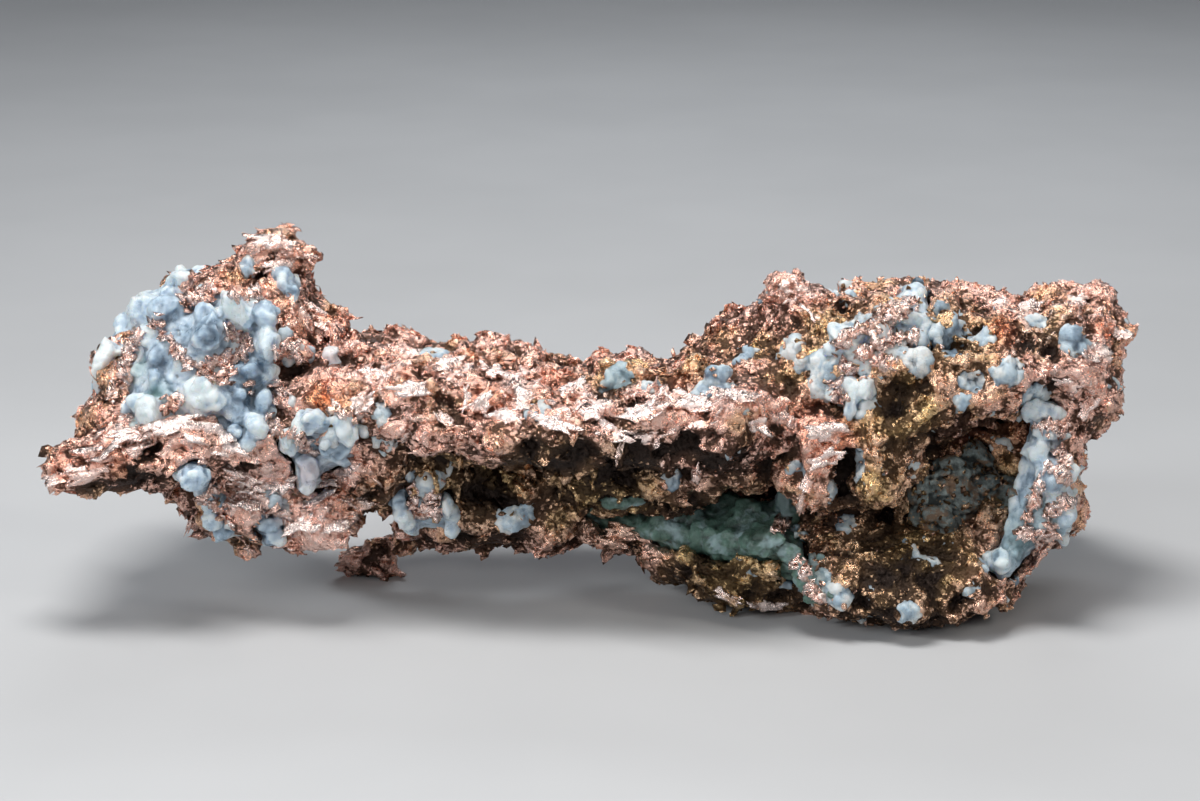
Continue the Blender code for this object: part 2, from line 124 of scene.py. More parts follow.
def boxesNear(points, size, seed):
    # each of the 27 boxes of that size round every point, and the way from its random middle to the point, in boxes
    at = points / size
    cell = np.floor(at).astype(np.int64)
    for step in np.ndindex(3, 3, 3):
        box = cell + np.array(step) - 1
        yield box, at - box - np.stack([hashed(box, seed + k) for k in range(3)], -1)


def shards(points, size, seed):
    # creased relief, about -1 to 1: each box holds a tilted tent, its random height plus a random slope along the
    # way from its tip less the distance to it, and the highest of the nearest tents shows
    top = np.full(len(points), -9.0)
    for box, way in boxesNear(points, size, seed):
        slope = np.stack([hashed(box, seed + k) for k in range(3, 6)], -1) * 2 - 1
        tent = hashed(box, seed + 6) + (way * slope).sum(-1) - 1.15 * np.linalg.norm(way, axis=-1)
        top = np.maximum(top, tent)
    return (top - 0.35) * 2


def relief(points, layers):
    # a sum of creased reliefs, each times its height
    return sum(height * shards(points, np.array(size), seed) for size, height, seed in layers)


def blocks(points, size, seed):
    # fused blocks: the distance to the second nearest of random middles less that to the nearest, which is 0 on
    # the creases between two, and the random number of the nearest
    first, second, tone = np.full(len(points), 9.0), np.full(len(points), 9.0), np.zeros(len(points))
    for box, way in boxesNear(points, size, seed):
        away = np.linalg.norm(way, axis=-1)
        nearest = away < first
        second = np.where(nearest, first, np.minimum(second, away))
        tone = np.where(nearest, hashed(box, seed + 3), tone)
        first = np.minimum(first, away)
    return second - first, tone


def pits(points, size, seed, share):
    # 0 to 1: a round dip at the middle of that share of the cells, one less the eased distance to its middle
    dip = np.zeros(len(points))
    for box, way in boxesNear(points, size, seed):
        reach = 0.35 + 0.35 * hashed(box, seed + 3)
        depth = np.clip(1 - np.linalg.norm(way, axis=-1) / reach, 0, 1)
        dip = np.maximum(dip, depth * (hashed(box, seed + 4) < share))
    return eased(dip)


def joined(parts):
    # several (points, triangles) as one
    starts = np.cumsum([0] + [len(points) for points, _ in parts[:-1]])
    corners = np.concatenate([points for points, _ in parts])
    return corners, np.concatenate([faces + start for (_, faces), start in zip(parts, starts)])


def newObject(name, points, faces):
    # an object from corners in mm and faces that all have as many corners
    mesh = bpy.data.meshes.new(name)
    mesh.vertices.add(len(points))
    mesh.vertices.foreach_set("co", (points * mm).astype(np.float32).ravel())
    mesh.loops.add(faces.size)
    mesh.loops.foreach_set("vertex_index", faces.astype(np.int32).ravel())
    mesh.polygons.add(len(faces))
    mesh.polygons.foreach_set("loop_start", np.arange(0, faces.size, faces.shape[1], dtype=np.int32))
    mesh.update(calc_edges=True)
    return placed(name, mesh)


def placed(name, data):
    # an object for a mesh, a lamp or a camera, put in the scene
    made = bpy.data.objects.new(name, data)
    bpy.context.scene.collection.objects.link(made)
    return made


def readBack(made):
    # an object's corners in mm and its triangles, as arrays
    mesh = made.data
    mesh.calc_loop_triangles()
    points = np.empty(len(mesh.vertices) * 3, np.float32)
    mesh.vertices.foreach_get("co", points)
    faces = np.empty(len(mesh.loop_triangles) * 3, np.int32)
    mesh.loop_triangles.foreach_get("vertices", faces)
    return points.reshape(-1, 3).astype(float) / mm, faces.reshape(-1, 3)


def nodeSkin(name):
    # a CAD node's corners and triangles, with the corners that its loose triangles share merged
    points, faces = readBack(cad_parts[name])
    _, first, place = np.unique(np.round(points * 1000), axis=0, return_index=True, return_inverse=True)
    return points[first], place.reshape(-1)[faces]


def outward(made):
    # the unit normal of each corner
    normals = np.empty(len(made.data.vertices) * 3, np.float32)
    made.data.vertex_normals.foreach_get("vector", normals)
    return normals.reshape(-1, 3).astype(float)


def movedTo(made, points):
    # sets its corners to places in mm
    made.data.vertices.foreach_set("co", (points * mm).astype(np.float32).ravel())
    made.data.update()


def clipped(made):
    # pulls in whatever stands past the limits
    movedTo(made, np.clip(readBack(made)[0], *limits))
    return made


def smoothed(made):
    made.data.polygons.foreach_set("use_smooth", np.ones(len(made.data.polygons), bool))


def applied(made, kind, **settings):
    # adds one modifier and applies it
    step = made.modifiers.new(kind.lower(), kind)
    for key, value in settings.items():
        setattr(step, key, value)
    graph = bpy.context.evaluated_depsgraph_get()
    mesh = bpy.data.meshes.new_from_object(made.evaluated_get(graph))
    old = made.data
    made.modifiers.clear()
    made.data = mesh
    bpy.data.meshes.remove(old)
    return made


def remeshed(made, grain):
    # melted into one skin of squares about that many mm wide
    return applied(made, "REMESH", mode="VOXEL", voxel_size=grain * mm)


def evened(values, edges, rounds):
    # each corner's values averaged with its neighbours' that many times
    near = np.bincount(edges.ravel(), minlength=len(values))
    for _ in range(rounds):
        total = np.stack([
            np.bincount(edges[:, 0], column[edges[:, 1]], len(values))
            + np.bincount(edges[:, 1], column[edges[:, 0]], len(values))
            for column in values.T], -1)
        values = (values + total / np.maximum(near, 1)[:, None]) / 2
    return values


def edgesOf(made):
    # the two corners of each edge
    edges = np.empty(len(made.data.edges) * 2, np.int32)
    made.data.edges.foreach_get("vertices", edges)
    return edges.reshape(-1, 2)


def store(made, name, values):
    # one value a corner, for its material to read
    made.data.attributes.new(name, "FLOAT", "POINT").data.foreach_set("value", values.astype(np.float32))


# small shapes that are repeated


def lensFaces(sides):
    # triangles of a ring of corners closed by a tip above and a tip below
    ring = np.arange(sides)
    after = (ring + 1) % sides
    upper = np.stack([ring, after, np.full(sides, sides)], -1)
    lower = np.stack([after, ring, np.full(sides, sides + 1)], -1)
    return np.concatenate([upper, lower])


def shardField(centres, normals, rng, field):
    # many torn flakes: each a ring of corners at uneven distances round a middle, lifted unevenly, with a tip
    # above and one below, stretched along its own long axis and leaning between the skin and its normal
    count, sides = len(centres), field["sides"]
    angle = np.linspace(0, math.tau, sides, endpoint=False)[None] + rng.uniform(-0.3, 0.3, (count, sides))
    reach = rng.uniform(0.55, 1.15, (count, sides))
    x = np.cos(angle) * reach
    y = np.sin(angle) * reach
    z = rng.uniform(-field["lift"], field["lift"], (count, sides))
    tips = rng.uniform(-0.3, 0.3, (count, 2, 2))
    shape = np.concatenate([
        np.stack([x, y, z], -1),
        np.concatenate([tips, np.tile([[[1.0], [-1.0]]], (count, 1, 1))], -1)], 1)
    grow = rng.uniform(0.6, 1.4, (count, 1)) * np.array(field["size"])[None]
    random = rng.normal(size=(count, 3))
    flat = unit(np.cross(normals, random))
    lean = rng.uniform(*field["lean"], (count, 1))
    long = unit(flat * (1 - lean) + normals * lean)
    thin = unit(np.cross(long, np.cross(normals, flat) + rng.normal(size=(count, 3)) * field["tilt"]))
    wide = np.cross(thin, long)
    axes = np.stack([long, wide, thin], 1) * grow[:, :, None]
    middle = centres + normals * field["proud"] + long * grow[:, :1] * lean * 0.5
    points = np.einsum("nvk,nkj->nvj", shape, axes) + middle[:, None]
    faces = lensFaces(sides)[None] + (np.arange(count) * (sides + 2))[:, None, None]
    return points.reshape(-1, 3), faces.reshape(-1, 3)


def strewn(points, faces, count, rng, weight=None):
    # random places on a skin, more of them where it is large, with the normal there and the triangle it is on
    a, b, c = (points[faces[:, k]] for k in range(3))
    normal = np.cross(b - a, c - a)
    area = np.linalg.norm(normal, axis=1)
    chance = area if weight is None else area * weight[faces].mean(1)
    pick = rng.choice(len(faces), count, p=chance / chance.sum())
    u, v = rng.random((2, count, 1))
    flip = u + v > 1
    u, v = np.where(flip, 1 - u, u), np.where(flip, 1 - v, v)
    place = a[pick] + u * (b - a)[pick] + v * (c - a)[pick]
    return place, normal[pick] / np.maximum(area[pick], 1e-9)[:, None], pick


def blobFaces(around, rows):
    # triangles of a closed grid: rings of corners from pole to pole, and one corner at each pole
    ring = np.arange(around)
    after = (ring + 1) % around
    faces = []
    for row in range(rows - 1):
        low, high = row * around, (row + 1) * around
        faces.append(np.stack([low + ring, low + after, high + after], -1))
        faces.append(np.stack([low + ring, high + after, high + ring], -1))
    bottom, top = rows * around, rows * around + 1
    faces.append(np.stack([after, ring, np.full(around, bottom)], -1))
    last = (rows - 1) * around
    faces.append(np.stack([last + ring, last + after, np.full(around, top)], -1))
    return np.concatenate(faces)


def crystalShape(rng, form):
    # one blunt crystal of half size 1: a prism whose radius at each angle is that of a polygon and whose radius
    # over its height follows a superellipse; then shaved by random planes, where whatever stands past a plane is
    # pushed back onto it
    around, rows = form["around"], form["rows"]
    u = np.linspace(0, math.tau, around, endpoint=False)
    v = np.linspace(-0.5, 0.5, rows + 2)[1:-1] * math.pi
    step = math.tau / rng.integers(*form["sides"])
    outline = math.cos(step / 2) / np.cos((u + rng.uniform(0, step)) % step - step / 2)
    width = np.cos(v) ** form["soft"]
    height = np.sign(np.sin(v)) * np.abs(np.sin(v)) ** form["soft"]
    taper = 1 - rng.uniform(0, form["taper"]) * (height + 1) / 2
    x = (width * taper)[:, None] * (outline * np.cos(u))[None]
    y = (width * taper)[:, None] * (outline * np.sin(u))[None]
    z = np.broadcast_to(height[:, None], x.shape)
    points = np.concatenate([np.stack([x, y, z], -1).reshape(-1, 3), [[0, 0, -1], [0, 0, 1]]])
    points[:, 2] += points[:, :2] @ rng.uniform(-0.3, 0.3, 2)
    for way in rng.normal(size=(form["planes"], 3)):
        way = unit(way)
        points = points - np.maximum(points @ way - rng.uniform(0.62, 0.95), 0)[:, None] * way
    return points, blobFaces(around, rows)


# shader maths


class Line:
    # one output socket; an expression on it adds Math nodes

    def __init__(self, finish, socket):
        self.finish = finish
        self.socket = socket

    def __add__(self, other):
        return self.finish.maths("ADD", self, other)

    def __sub__(self, other):
        return self.finish.maths("SUBTRACT", self, other)

    def __rsub__(self, other):
        return self.finish.maths("SUBTRACT", other, self)

    def __mul__(self, other):
        return self.finish.maths("MULTIPLY", self, other)

    __radd__ = __add__
    __rmul__ = __mul__


class Finish:
    # a material with one Principled shader, and the ways to add nodes to it

    def __init__(self, name, **constants):
        self.material = bpy.data.materials.new(name)
        self.material.use_nodes = True
        self.tree = self.material.node_tree
        self.shader = self.tree.nodes["Principled BSDF"]
        for key, value in constants.items():
            self.shader.inputs[key.replace("_", " ")].default_value = value

    def add(self, kind, settings=None, sockets=None, output=0):
        # any node: its settings come first, then the values or links of its sockets
        made = self.tree.nodes.new("ShaderNode" + kind)
        for key, value in (settings or {}).items():
            setattr(made, key, value)
        for key, value in (sockets or {}).items():
            self.feed(made.inputs[key], value)
        return Line(self, made.outputs[output])

    def feed(self, socket, value):
        # a link from a line, or the socket's own value
        if isinstance(value, Line):
            self.tree.links.new(value.socket, socket)
        else:
            socket.default_value = (*value, 1) if socket.type == "RGBA" and len(value) == 3 else value

    def maths(self, operation, one, other):
        return self.add("Math", {"operation": operation}, {0: one, 1: other})

    def vectors(self, operation, one, other):
        # on two vectors, or on a vector and the factor that scales it
        return self.add("VectorMath", {"operation": operation}, {0: one, 3 if operation == "SCALE" else 1: other})

    def clamped(self, value):
        # held between 0 and 1
        return self.add("Clamp", sockets={"Value": value})

    def between(self, value, low, high, toLow=0.0, toHigh=1.0):
        # 0 to 1 as the value goes from low to high, eased
        made = {"Value": value, "From Min": low, "From Max": high, "To Min": toLow, "To Max": toHigh}
        return self.add("MapRange", {"interpolation_type": "SMOOTHSTEP"}, made)

    def blend(self, share, one, other):
        # two colours mixed by a share
        return self.add("Mix", {"data_type": "RGBA"}, {0: share, 6: one, 7: other}, output=2)

    def place(self, size, stretch=(1, 1, 1)):
        # the place on the piece, counted in that many mm and stretched along its axes
        return self.vectors("MULTIPLY", self.add("TexCoord", output=3), [1 / (size * mm) * s for s in stretch])

    def noise(self, size, detail=3.0, rough=0.6, warp=0.0):
        # noise whose features are about that many mm across
        sockets = {"Vector": self.place(size), "Scale": 1.0, "Detail": detail, "Roughness": rough,
                   "Distortion": warp}
        return self.add("TexNoise", sockets=sockets)

    def cells(self, size, feature="F1", output=0, stretch=(1, 1, 1), warp=0.0):
        # cells about that many mm across, with their places moved about by noise
        place = self.place(size, stretch)
        if warp:
            drift = self.add("TexNoise", sockets={"Vector": place, "Scale": 1.5, "Detail": 3.0}, output=1)
            place = self.vectors("ADD", place, self.vectors("SCALE", drift, warp))
        return self.add("TexVoronoi", {"feature": feature}, {"Vector": place, "Scale": 1.0}, output)

    def read(self, name):
        # what was stored at the corners
        return self.add("Attribute", {"attribute_name": name}, output=2)

    def set(self, **sockets):
        # feeds the shader's sockets, named with _ for a space
        for key, value in sockets.items():
            self.feed(self.shader.inputs[key.replace("_", " ")], value)

    def bump(self, height, distance, normal=None):
        # relief of that many mm, over a normal that is turned already
        sockets = {"Height": height, "Distance": distance * mm, "Strength": 1.0}
        if normal is not None:
            sockets["Normal"] = normal
        return self.add("Bump", sockets=sockets)

    def glints(self, size, tilt):
        # each small cell turns the normal its own way, as the faces of torn metal and of crystals do
        turn = self.vectors("SUBTRACT", self.cells(size, output=1), (0.5, 0.5, 0.5))
        turn = self.vectors("ADD", self.vectors("SCALE", turn, tilt), self.add("NewGeometry", output=1))
        return self.add("VectorMath", {"operation": "NORMALIZE"}, {0: turn})


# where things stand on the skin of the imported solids

nodeSkins = {name: nodeSkin(name) for name in sorted(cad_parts)}


def treeOf(skin):
    # finds where a line meets a skin of corners and triangles
    points, faces = skin
    return BVHTree.FromPolygons(points.tolist(), faces.tolist())


solidsTree = treeOf(joined(list(nodeSkins.values())))


def onSkin(tree, across, up):
    # where the line of sight meets the skin, the normal there, and the way to the eye; past the outline, the place
    # is on the upright plane through the aim
    eye, way = sightLine(across, up)
    hit, normal, _, _ = tree.ray_cast(Vector(eye), Vector(way))
    if hit is None:
        return eye + way * ((sight["aim"][1] - eye[1]) / way[1]), -way, -way
    return np.array(hit), np.array(normal), -way


def sideAndRise(out):
    # the level direction square to one that points outwards, and the direction square to both
    side = unit(np.cross((0, 0, 1), out))
    return side, np.cross(out, side)


def zoned(points, zones):
    # 0 to 1: the strongest of the zones, each full at its middle on the skin and gone at its reach
    total = np.zeros(len(points))
    for across, up, reach, strength in zones:
        middle = onSkin(solidsTree, across, up)[0]
        share = np.clip(1 - np.linalg.norm(points - middle, axis=1) / reach, 0, 1)
        total = np.maximum(total, strength * share * share * (3 - 2 * share))
    return total


# the copper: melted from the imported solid, crumpled, stuck full of torn flakes, melted again and creased

copper = {
    "firstGrain": 0.42,
    "lastGrain": 0.27,
    "triangles": 320000,
    "foil": (((5.2, 2.8, 2.5), 0.6, 11), ((2.3, 1.2, 1.1), 0.28, 12), ((3.4, 0.8, 0.75), 0.16, 17)),
    "sponge": (((2.5, 2.3, 2.2), 0.6, 13), ((1.2, 1.1, 1.1), 0.36, 14)),
    "fine": (((0.8, 0.6, 0.55), 0.07, 15),),
    "pits": (2.8, 1.5, 0.55, 16),
    # flakes melted into the skin
    "leaves": {"count": 1700, "sides": 7, "size": (1.5, 0.85, 0.3), "lift": 0.35, "tilt": 0.4,
               "lean": (0.0, 0.35), "proud": 0.0},
    "crumbs": {"count": 4200, "sides": 6, "size": (0.65, 0.42, 0.3), "lift": 0.35, "tilt": 0.4,
               "lean": (0.0, 0.7), "proud": 0.0},
    # crisp leaves left on it
    "foilLeaves": {"count": 5400, "sides": 7, "size": (0.85, 0.55, 0.1), "lift": 1.2, "tilt": 0.3,
                   "lean": (0.0, 0.1), "proud": -0.04},
    "spongeLeaves": {"count": 13000, "sides": 6, "size": (0.38, 0.28, 0.11), "lift": 1.1, "tilt": 0.8,
                     "lean": (0.0, 0.25), "proud": -0.03},
    "calm": [
        (-32.5, 38, 4, 1), (-50, 16, 6, 0.8), (-43, 19, 5, 0.7), (-19, 24, 2.5, 0.8)],
    # places moved whole: across, up, reach, then how far along, back and up
    "nudges": [
        (-28.5, 36.5, 8, -1.8, 0, -0.4), (-25.5, 30, 6, -0.8, 0, -0.8), (46, 4.5, 8, -1.4, 0, 1.2),
        (-19, 29.5, 7, 0, 0, -0.8), (-11, 28, 7, 0, 0, -0.7), (-3, 26.5, 9, 0, 0, -1.1),
        (6, 27, 8, 0, 0, -0.9), (14, 30, 7, 0.5, 0, -1.2), (27, 34, 7, 0, 0, -0.5), (36, 34, 7, 0, 0, -0.6),
        (44, 34, 7, 0, 0, -1.2), (-49, 14.5, 6, 0, 0, 0.8), (-30, 7.5, 7, 0, 0, 0.5),
        (-12, 8.5, 8, 0, 0, 0.7), (11, 2.5, 7, 0.5, 0, 0.7), (-34, 12.6, 6, 0, -2.4, 0),
        (-27.5, 10.6, 6, 0, -2.2, 0.4), (-52.8, 24.6, 4, 1.8, 0, 0)],
    # these flakes on the crystals carry some painted highlight
    "quartzSpecks": {"count": 1500, "sides": 6, "size": (0.42, 0.3, 0.12), "lift": 1.1, "tilt": 0.7,
                     "lean": (0.0, 0.3), "proud": 0.05, "gold": (0.2, 1.0), "nick": (-0.4, 0.6),
                     "marks": {"bright": 0.4}},
    # these flakes on the rock carry some painted shade
    "rockSpecks": {"count": 300, "sides": 6, "size": (0.42, 0.3, 0.12), "lift": 1.1, "tilt": 0.7,
                   "lean": (0.0, 0.3), "proud": 0.05, "gold": (0.2, 1.0), "nick": (-0.4, 0.6),
                   "marks": {"soot": 0.25}},
    # how near the crystals are: boxes in mm, rounds of spreading
    "nearness": {"box": 0.5, "margin": 4, "places": 60000, "seed": 3, "rounds": 4, "gain": 3},
    "recess": 0.12,
    "bias": 0.45,
    "slim": [
        (-24, 5.8, 5, 1.3), (-21, 8.5, 3, 0.8), (-29.5, 37, 4.5, 1.3), (-28.2, 34.5, 4, 1.2),
        (-26, 29.5, 4, 1.1), (-52, 16, 4, 0.4), (-22, 29.2, 5, 1.3), (-17, 28.8, 5, 1.1), (-11, 28, 4, 0.9),
        (-5, 26.6, 4, 1.3), (1, 26.2, 4, 1.2), (7, 26.5, 4, 0.9), (12.5, 28.6, 4, 1.4), (15.5, 31, 4, 1.2),
        (24, 33.6, 4, 0.8), (32, 33.4, 4, 0.7), (39, 33, 4, 0.7), (44, 33.2, 4, 1.6), (48.5, 33, 3, 0.7),
        (-51, 24, 4, 1), (-46, 14.8, 5, 1.1), (-52, 14, 4, 0.9), (-34, 8.6, 4, 0.5), (43.5, 4.5, 7, 1.8),
        (8, 5.5, 4, 0.7), (46.5, 17, 4, 0.7)],
    "spongeFrom": (8.0, 20.0),
    "spongeEdge": ((6, 3, 31),),
    "evening": {"near": 6, "far": 60, "facing": 30},
    "crestDepth": 0.25,
    "hollowDepth": 0.7,
    "seam": 6.0,         # where the copper is cut in two
    "crumb": 12,         # loose parts with fewer corners go
    # places on the display side: across, up, reach, strength
    "gold": [
        (2, 25, 6, 0.8), (10, 26, 5, 0.7), (-16.5, 26.5, 3, 0.7), (-22, 23, 3, 0.5), (0, 14, 12, 1),
        (-16, 14, 9, 0.9), (14, 29, 5, 0.8), (25, 30, 12, 0.9), (35, 28, 10, 0.8), (30, 8, 14, 0.9),
        (14, 6, 13, 1), (30, 21, 9, 0.8), (-12, 14, 8, 0.8), (-15, 17, 6, 0.7), (45, 30, 6, 0.5),
        (-6, 17, 6, 0.7), (28, 15, 7, 0.7), (-16, 21, 3.5, 0.5), (3, 18, 6, 0.6), (40, 14, 9, 0.8)],
    "rust": [
        (-27.7, 23, 3.2, 1), (-11, 22.8, 3.4, 0.9), (40, 29.8, 3, 1), (51, 29.8, 3, 0.9), (-49, 17.4, 3, 0.7),
        (23, 18.8, 4, 0.7), (-26, 28.5, 3.5, 0.7), (-29.8, 37, 2.5, 0.7), (-5, 24.6, 3, 0.5),
        (8, 24.3, 3, 0.5), (21, 21.5, 3, 0.5), (-53, 15.6, 3, 0.5), (42, 21, 4, 0.6), (37, 18.5, 5, 0.5),
        (-30, 8.5, 4, 0.4)],
    # painted shade: places darkened where the copper lies in shadow, as across, up, reach, strength
    "soot": [
        (44, 30.5, 9, 0.75), (30, 4, 10, 1.3), (-47, 14.5, 6, 0.8), (22, 5, 8, 0.6), (14, 5, 6, 0.6),
        (9, 10, 7, 1.2), (-12, 12.5, 9, 0.8), (8, 11, 6, 0.8), (-5, 16.5, 7, 1), (4, 16.8, 8, 1.3),
        (12, 17, 6, 1.2), (0, 15, 6, 1), (9, 6.5, 8, 0.9), (16, 7, 6, 0.7), (28, 7.6, 5, 0.8),
        (34, 8, 4, 0.6), (-14, 13, 6, 0.6), (34, 15, 8, 0.6), (-50, 14.8, 5, 0.5), (-45, 16.4, 4, 0.5),
        (30, 3, 8, 1), (37, 4, 7, 0.9), (25, 5, 6, 0.7), (41, 31, 6, 0.35), (30, 33, 6, 0.3), (3, 8, 5, 1),
        (14, 29.5, 4, 0.4), (-23, 7, 4, 0.5), (24.8, 13.6, 4, 1), (28.5, 21, 4, 0.5), (36, 19, 4, 0.4)],
    # painted highlight: places lightened where light falls, as across, up, reach, strength
    "bright": [
        (44, 29.5, 9, 0.5), (-48, 19.5, 6, 0.75), (-42, 20, 6, 0.8), (-36, 19, 5, 0.8), (-33, 14.5, 6, 1),
        (-29, 11, 4, 0.7), (-22, 25.5, 6, 1), (-15, 25, 5, 1), (-8, 24.5, 6, 1), (-1, 22.5, 6, 1),
        (6, 22.5, 6, 1), (12, 23, 5, 1), (17, 21.5, 4, 0.8), (40, 32.5, 5, 0.7), (47.5, 32, 5, 0.8),
        (44, 26, 5, 0.6), (-46, 26, 5, 0.6), (-18, 20, 6, 0.7), (20, 33.5, 4, 0.8), (-33, 37.5, 5, 0.7),
        (-29, 32, 5, 0.7), (-27, 29, 4, 0.8), (48.5, 27.5, 5, 0.8), (50, 31, 4, 0.6), (48, 23.5, 4, 0.7),
        (-35, 14, 6, 1), (-28, 11, 6, 1), (-32, 11, 5, 0.8), (42, 31, 4, 0.7), (22.5, 18.5, 4, 0.6),
        (-25, 16, 5, 0.7)],
}


def crystalNearness(points):
    # 0 to 1: places strewn on the crystals are marked in a grid of small boxes, spread to the boxes round them by
    # averaging along each axis, and read off at each point
    form = copper["nearness"]
    low = np.array(cadBox[0]) / mm - form["margin"]
    span = np.ceil((np.array(cadBox[1]) / mm + form["margin"] - low) / form["box"]).astype(int)
    stones = joined([skin for name, skin in nodeSkins.items() if name != "native_copper"])
    places, _, _ = strewn(*stones, form["places"], np.random.default_rng(form["seed"]))
    field = np.zeros(span)
    field[tuple(((places - low) / form["box"]).astype(int).T)] = 1
    for _ in range(form["rounds"]):
        for axis in range(3):
            field = (np.roll(field, 1, axis) + 2 * field + np.roll(field, -1, axis)) / 4
    cell = np.clip(((points - low) / form["box"]).astype(int), 0, span - 1)
    return np.clip(field[tuple(cell.T)] * form["gain"], 0, 1)


def spongeShare(points):
    # 0 on the head and neck and 1 on the lobe, with an edge that noise moves about
    return ramp(points[:, 0] + soft(points, copper["spongeEdge"]), *copper["spongeFrom"])


def crumpledHeight(points):
    # foil creases on the head and neck, finer sponge on the lobe, each a sum of creased layers, less the pits
    sponge = spongeShare(points)
    height = relief(points, copper["foil"]) * (1 - sponge) + relief(points, copper["sponge"]) * sponge
    size, depth, share, seed = copper["pits"]
    height = height - depth * (0.35 + 0.65 * sponge) * pits(points, size, seed, share)
    near = crystalNearness(points)
    height = height * (1 - 0.6 * near) - copper["recess"] * near - copper["bias"] * (1 - near)
    return height - zoned(points, copper["slim"]), sponge, near


def nudged(points):
    # each place moved by its step times its share at every point
    moved = points.copy()
    for across, up, reach, *step in copper["nudges"]:
        moved = moved + zoned(points, [(across, up, reach, 1.0)])[:, None] * np.array(step)
    return moved


def madeCopper():
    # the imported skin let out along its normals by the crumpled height, with flakes stuck through it, as one mass
    rng = np.random.default_rng(seeds["copper"])
    skin = remeshed(newObject("copper", *nodeSkins["native_copper"]), copper["firstGrain"])
    points, faces = readBack(skin)
    height, sponge, near = crumpledHeight(points)
    points = nudged(points + outward(skin) * height[:, None])
    parts = [(points, faces)]
    for field, weight in ((copper["leaves"], 1.02 - sponge), (copper["crumbs"], 0.15 + sponge)):
        places, normals, _ = strewn(points, faces, field["count"], rng, weight * (1 - near) ** 2)
        parts.append(shardField(places, normals, rng, field))
    whole = newObject("copper_whole", *joined(parts))
    bpy.data.objects.remove(skin)
    remeshed(whole, copper["lastGrain"])
    points, faces = readBack(whole)
    print(f"copper melted: {len(faces)} triangles")
    points = points + outward(whole) * relief(points, copper["fine"])[:, None]
    movedTo(whole, points)
    applied(whole, "TRIANGULATE")
    applied(whole, "DECIMATE", ratio=min(1, copper["triangles"] / len(faces)))
    return whole


def markCopper(whole):
    # what its materials read: depth below the evened skin near by and further off, and the zones
    points, faces = readBack(whole)
    edges = edgesOf(whole)
    rounds = copper["evening"]
    near = evened(points, edges, rounds["near"])
    far = evened(near, edges, rounds["far"])
    facing = unit(evened(outward(whole), edges, rounds["facing"]))
    marks = {name: zoned(points, copper[name]) for name in ("gold", "rust", "soot", "bright")}
    # crests lighter and fine creases darker: crests partly as wear and partly as painted highlight, creases as
    # painted shade
    marks["nick"] = np.clip(((points - near) * facing).sum(1) / copper["crestDepth"], -1, 1)
    # painted shade: hollows below the further-evened skin get a darker stain, near black at depth; rises get more
    # clean facets
    marks["hollow"] = np.clip(((near - far) * facing).sum(1) / copper["hollowDepth"], -1, 1)
    # painted shade: faces that turn down get a darker stain
    marks["under"] = ramp(-facing[:, 2], -0.1, 0.7)
    for name, values in marks.items():
        store(whole, name, values)
    return points, faces, marks


def leaves(skin, marks, field, weight, rng):
    # crisp torn leaves on the finished skin, each with the marks of the place that it lies on
    points, faces = skin
    places, normals, pick = strewn(points, faces, field["count"], rng, weight)
    shape = shardField(places, normals, rng, field)
    own = {name: np.repeat(values[faces[pick]].mean(1), field["sides"] + 2) for name, values in marks.items()}
    own["nick"] = own["nick"] * 0.5 + np.repeat(rng.uniform(-0.1, 0.7, field["count"]), field["sides"] + 2)
    return shape, own


def crumpledSheet(rng, halves, form):
    # a torn sheet as rings round its middle, first its underside from the middle out, then its top back in. The
    # radius is ragged round the turn by noise, the height is a sum of tents and a curl with the square of the
    # radius, and the two sides part by the thickness times one less that square, so they meet at the rim
    around, rings = form["around"], form["rings"]
    turn = np.linspace(0, math.tau, around, endpoint=False)
    radius = np.linspace(0, 1, rings + 1)[1:]
    share = np.concatenate([radius, radius[-2::-1]])
    side = np.sign(np.arange(len(share)) - (rings - 1))
    ragged = 1 + rng.uniform(-form["ragged"], form["ragged"], around)
    ragged = (ragged + np.roll(ragged, 1)) / 2 + rng.uniform(-0.08, 0.08, around)
    x = share[:, None] * (ragged * np.cos(turn))[None] * halves[0]
    y = share[:, None] * (ragged * np.sin(turn))[None] * halves[1]
    flat = np.concatenate([np.stack([x, y, 0 * x], -1).reshape(-1, 3), np.zeros((2, 3))])
    reach = np.append(np.repeat(share, around), (0, 0))
    skin = np.append(np.repeat(side, around), (-1, 1)) * form["thick"] * (1 - reach ** 2)
    place = flat + rng.uniform(0, 60, 3)
    height = relief(place, form["crumple"])
    bend = rng.uniform(*form["curl"]) * (flat[:, 0] / max(halves)) ** 2 - rng.uniform(*form["curl"]) * reach ** 2
    flat[:, 2] = height + bend + skin
    return flat, blobFaces(around, len(share)), height


sheetForm = {"around": 28, "rings": 6, "ragged": 0.55, "thick": 0.1, "curl": (0.0, 0.4), "toEye": 0.8,
             "crumple": (((1.6, 0.8, 1.0), 0.32, 51), ((0.55, 0.45, 0.5), 0.12, 52))}
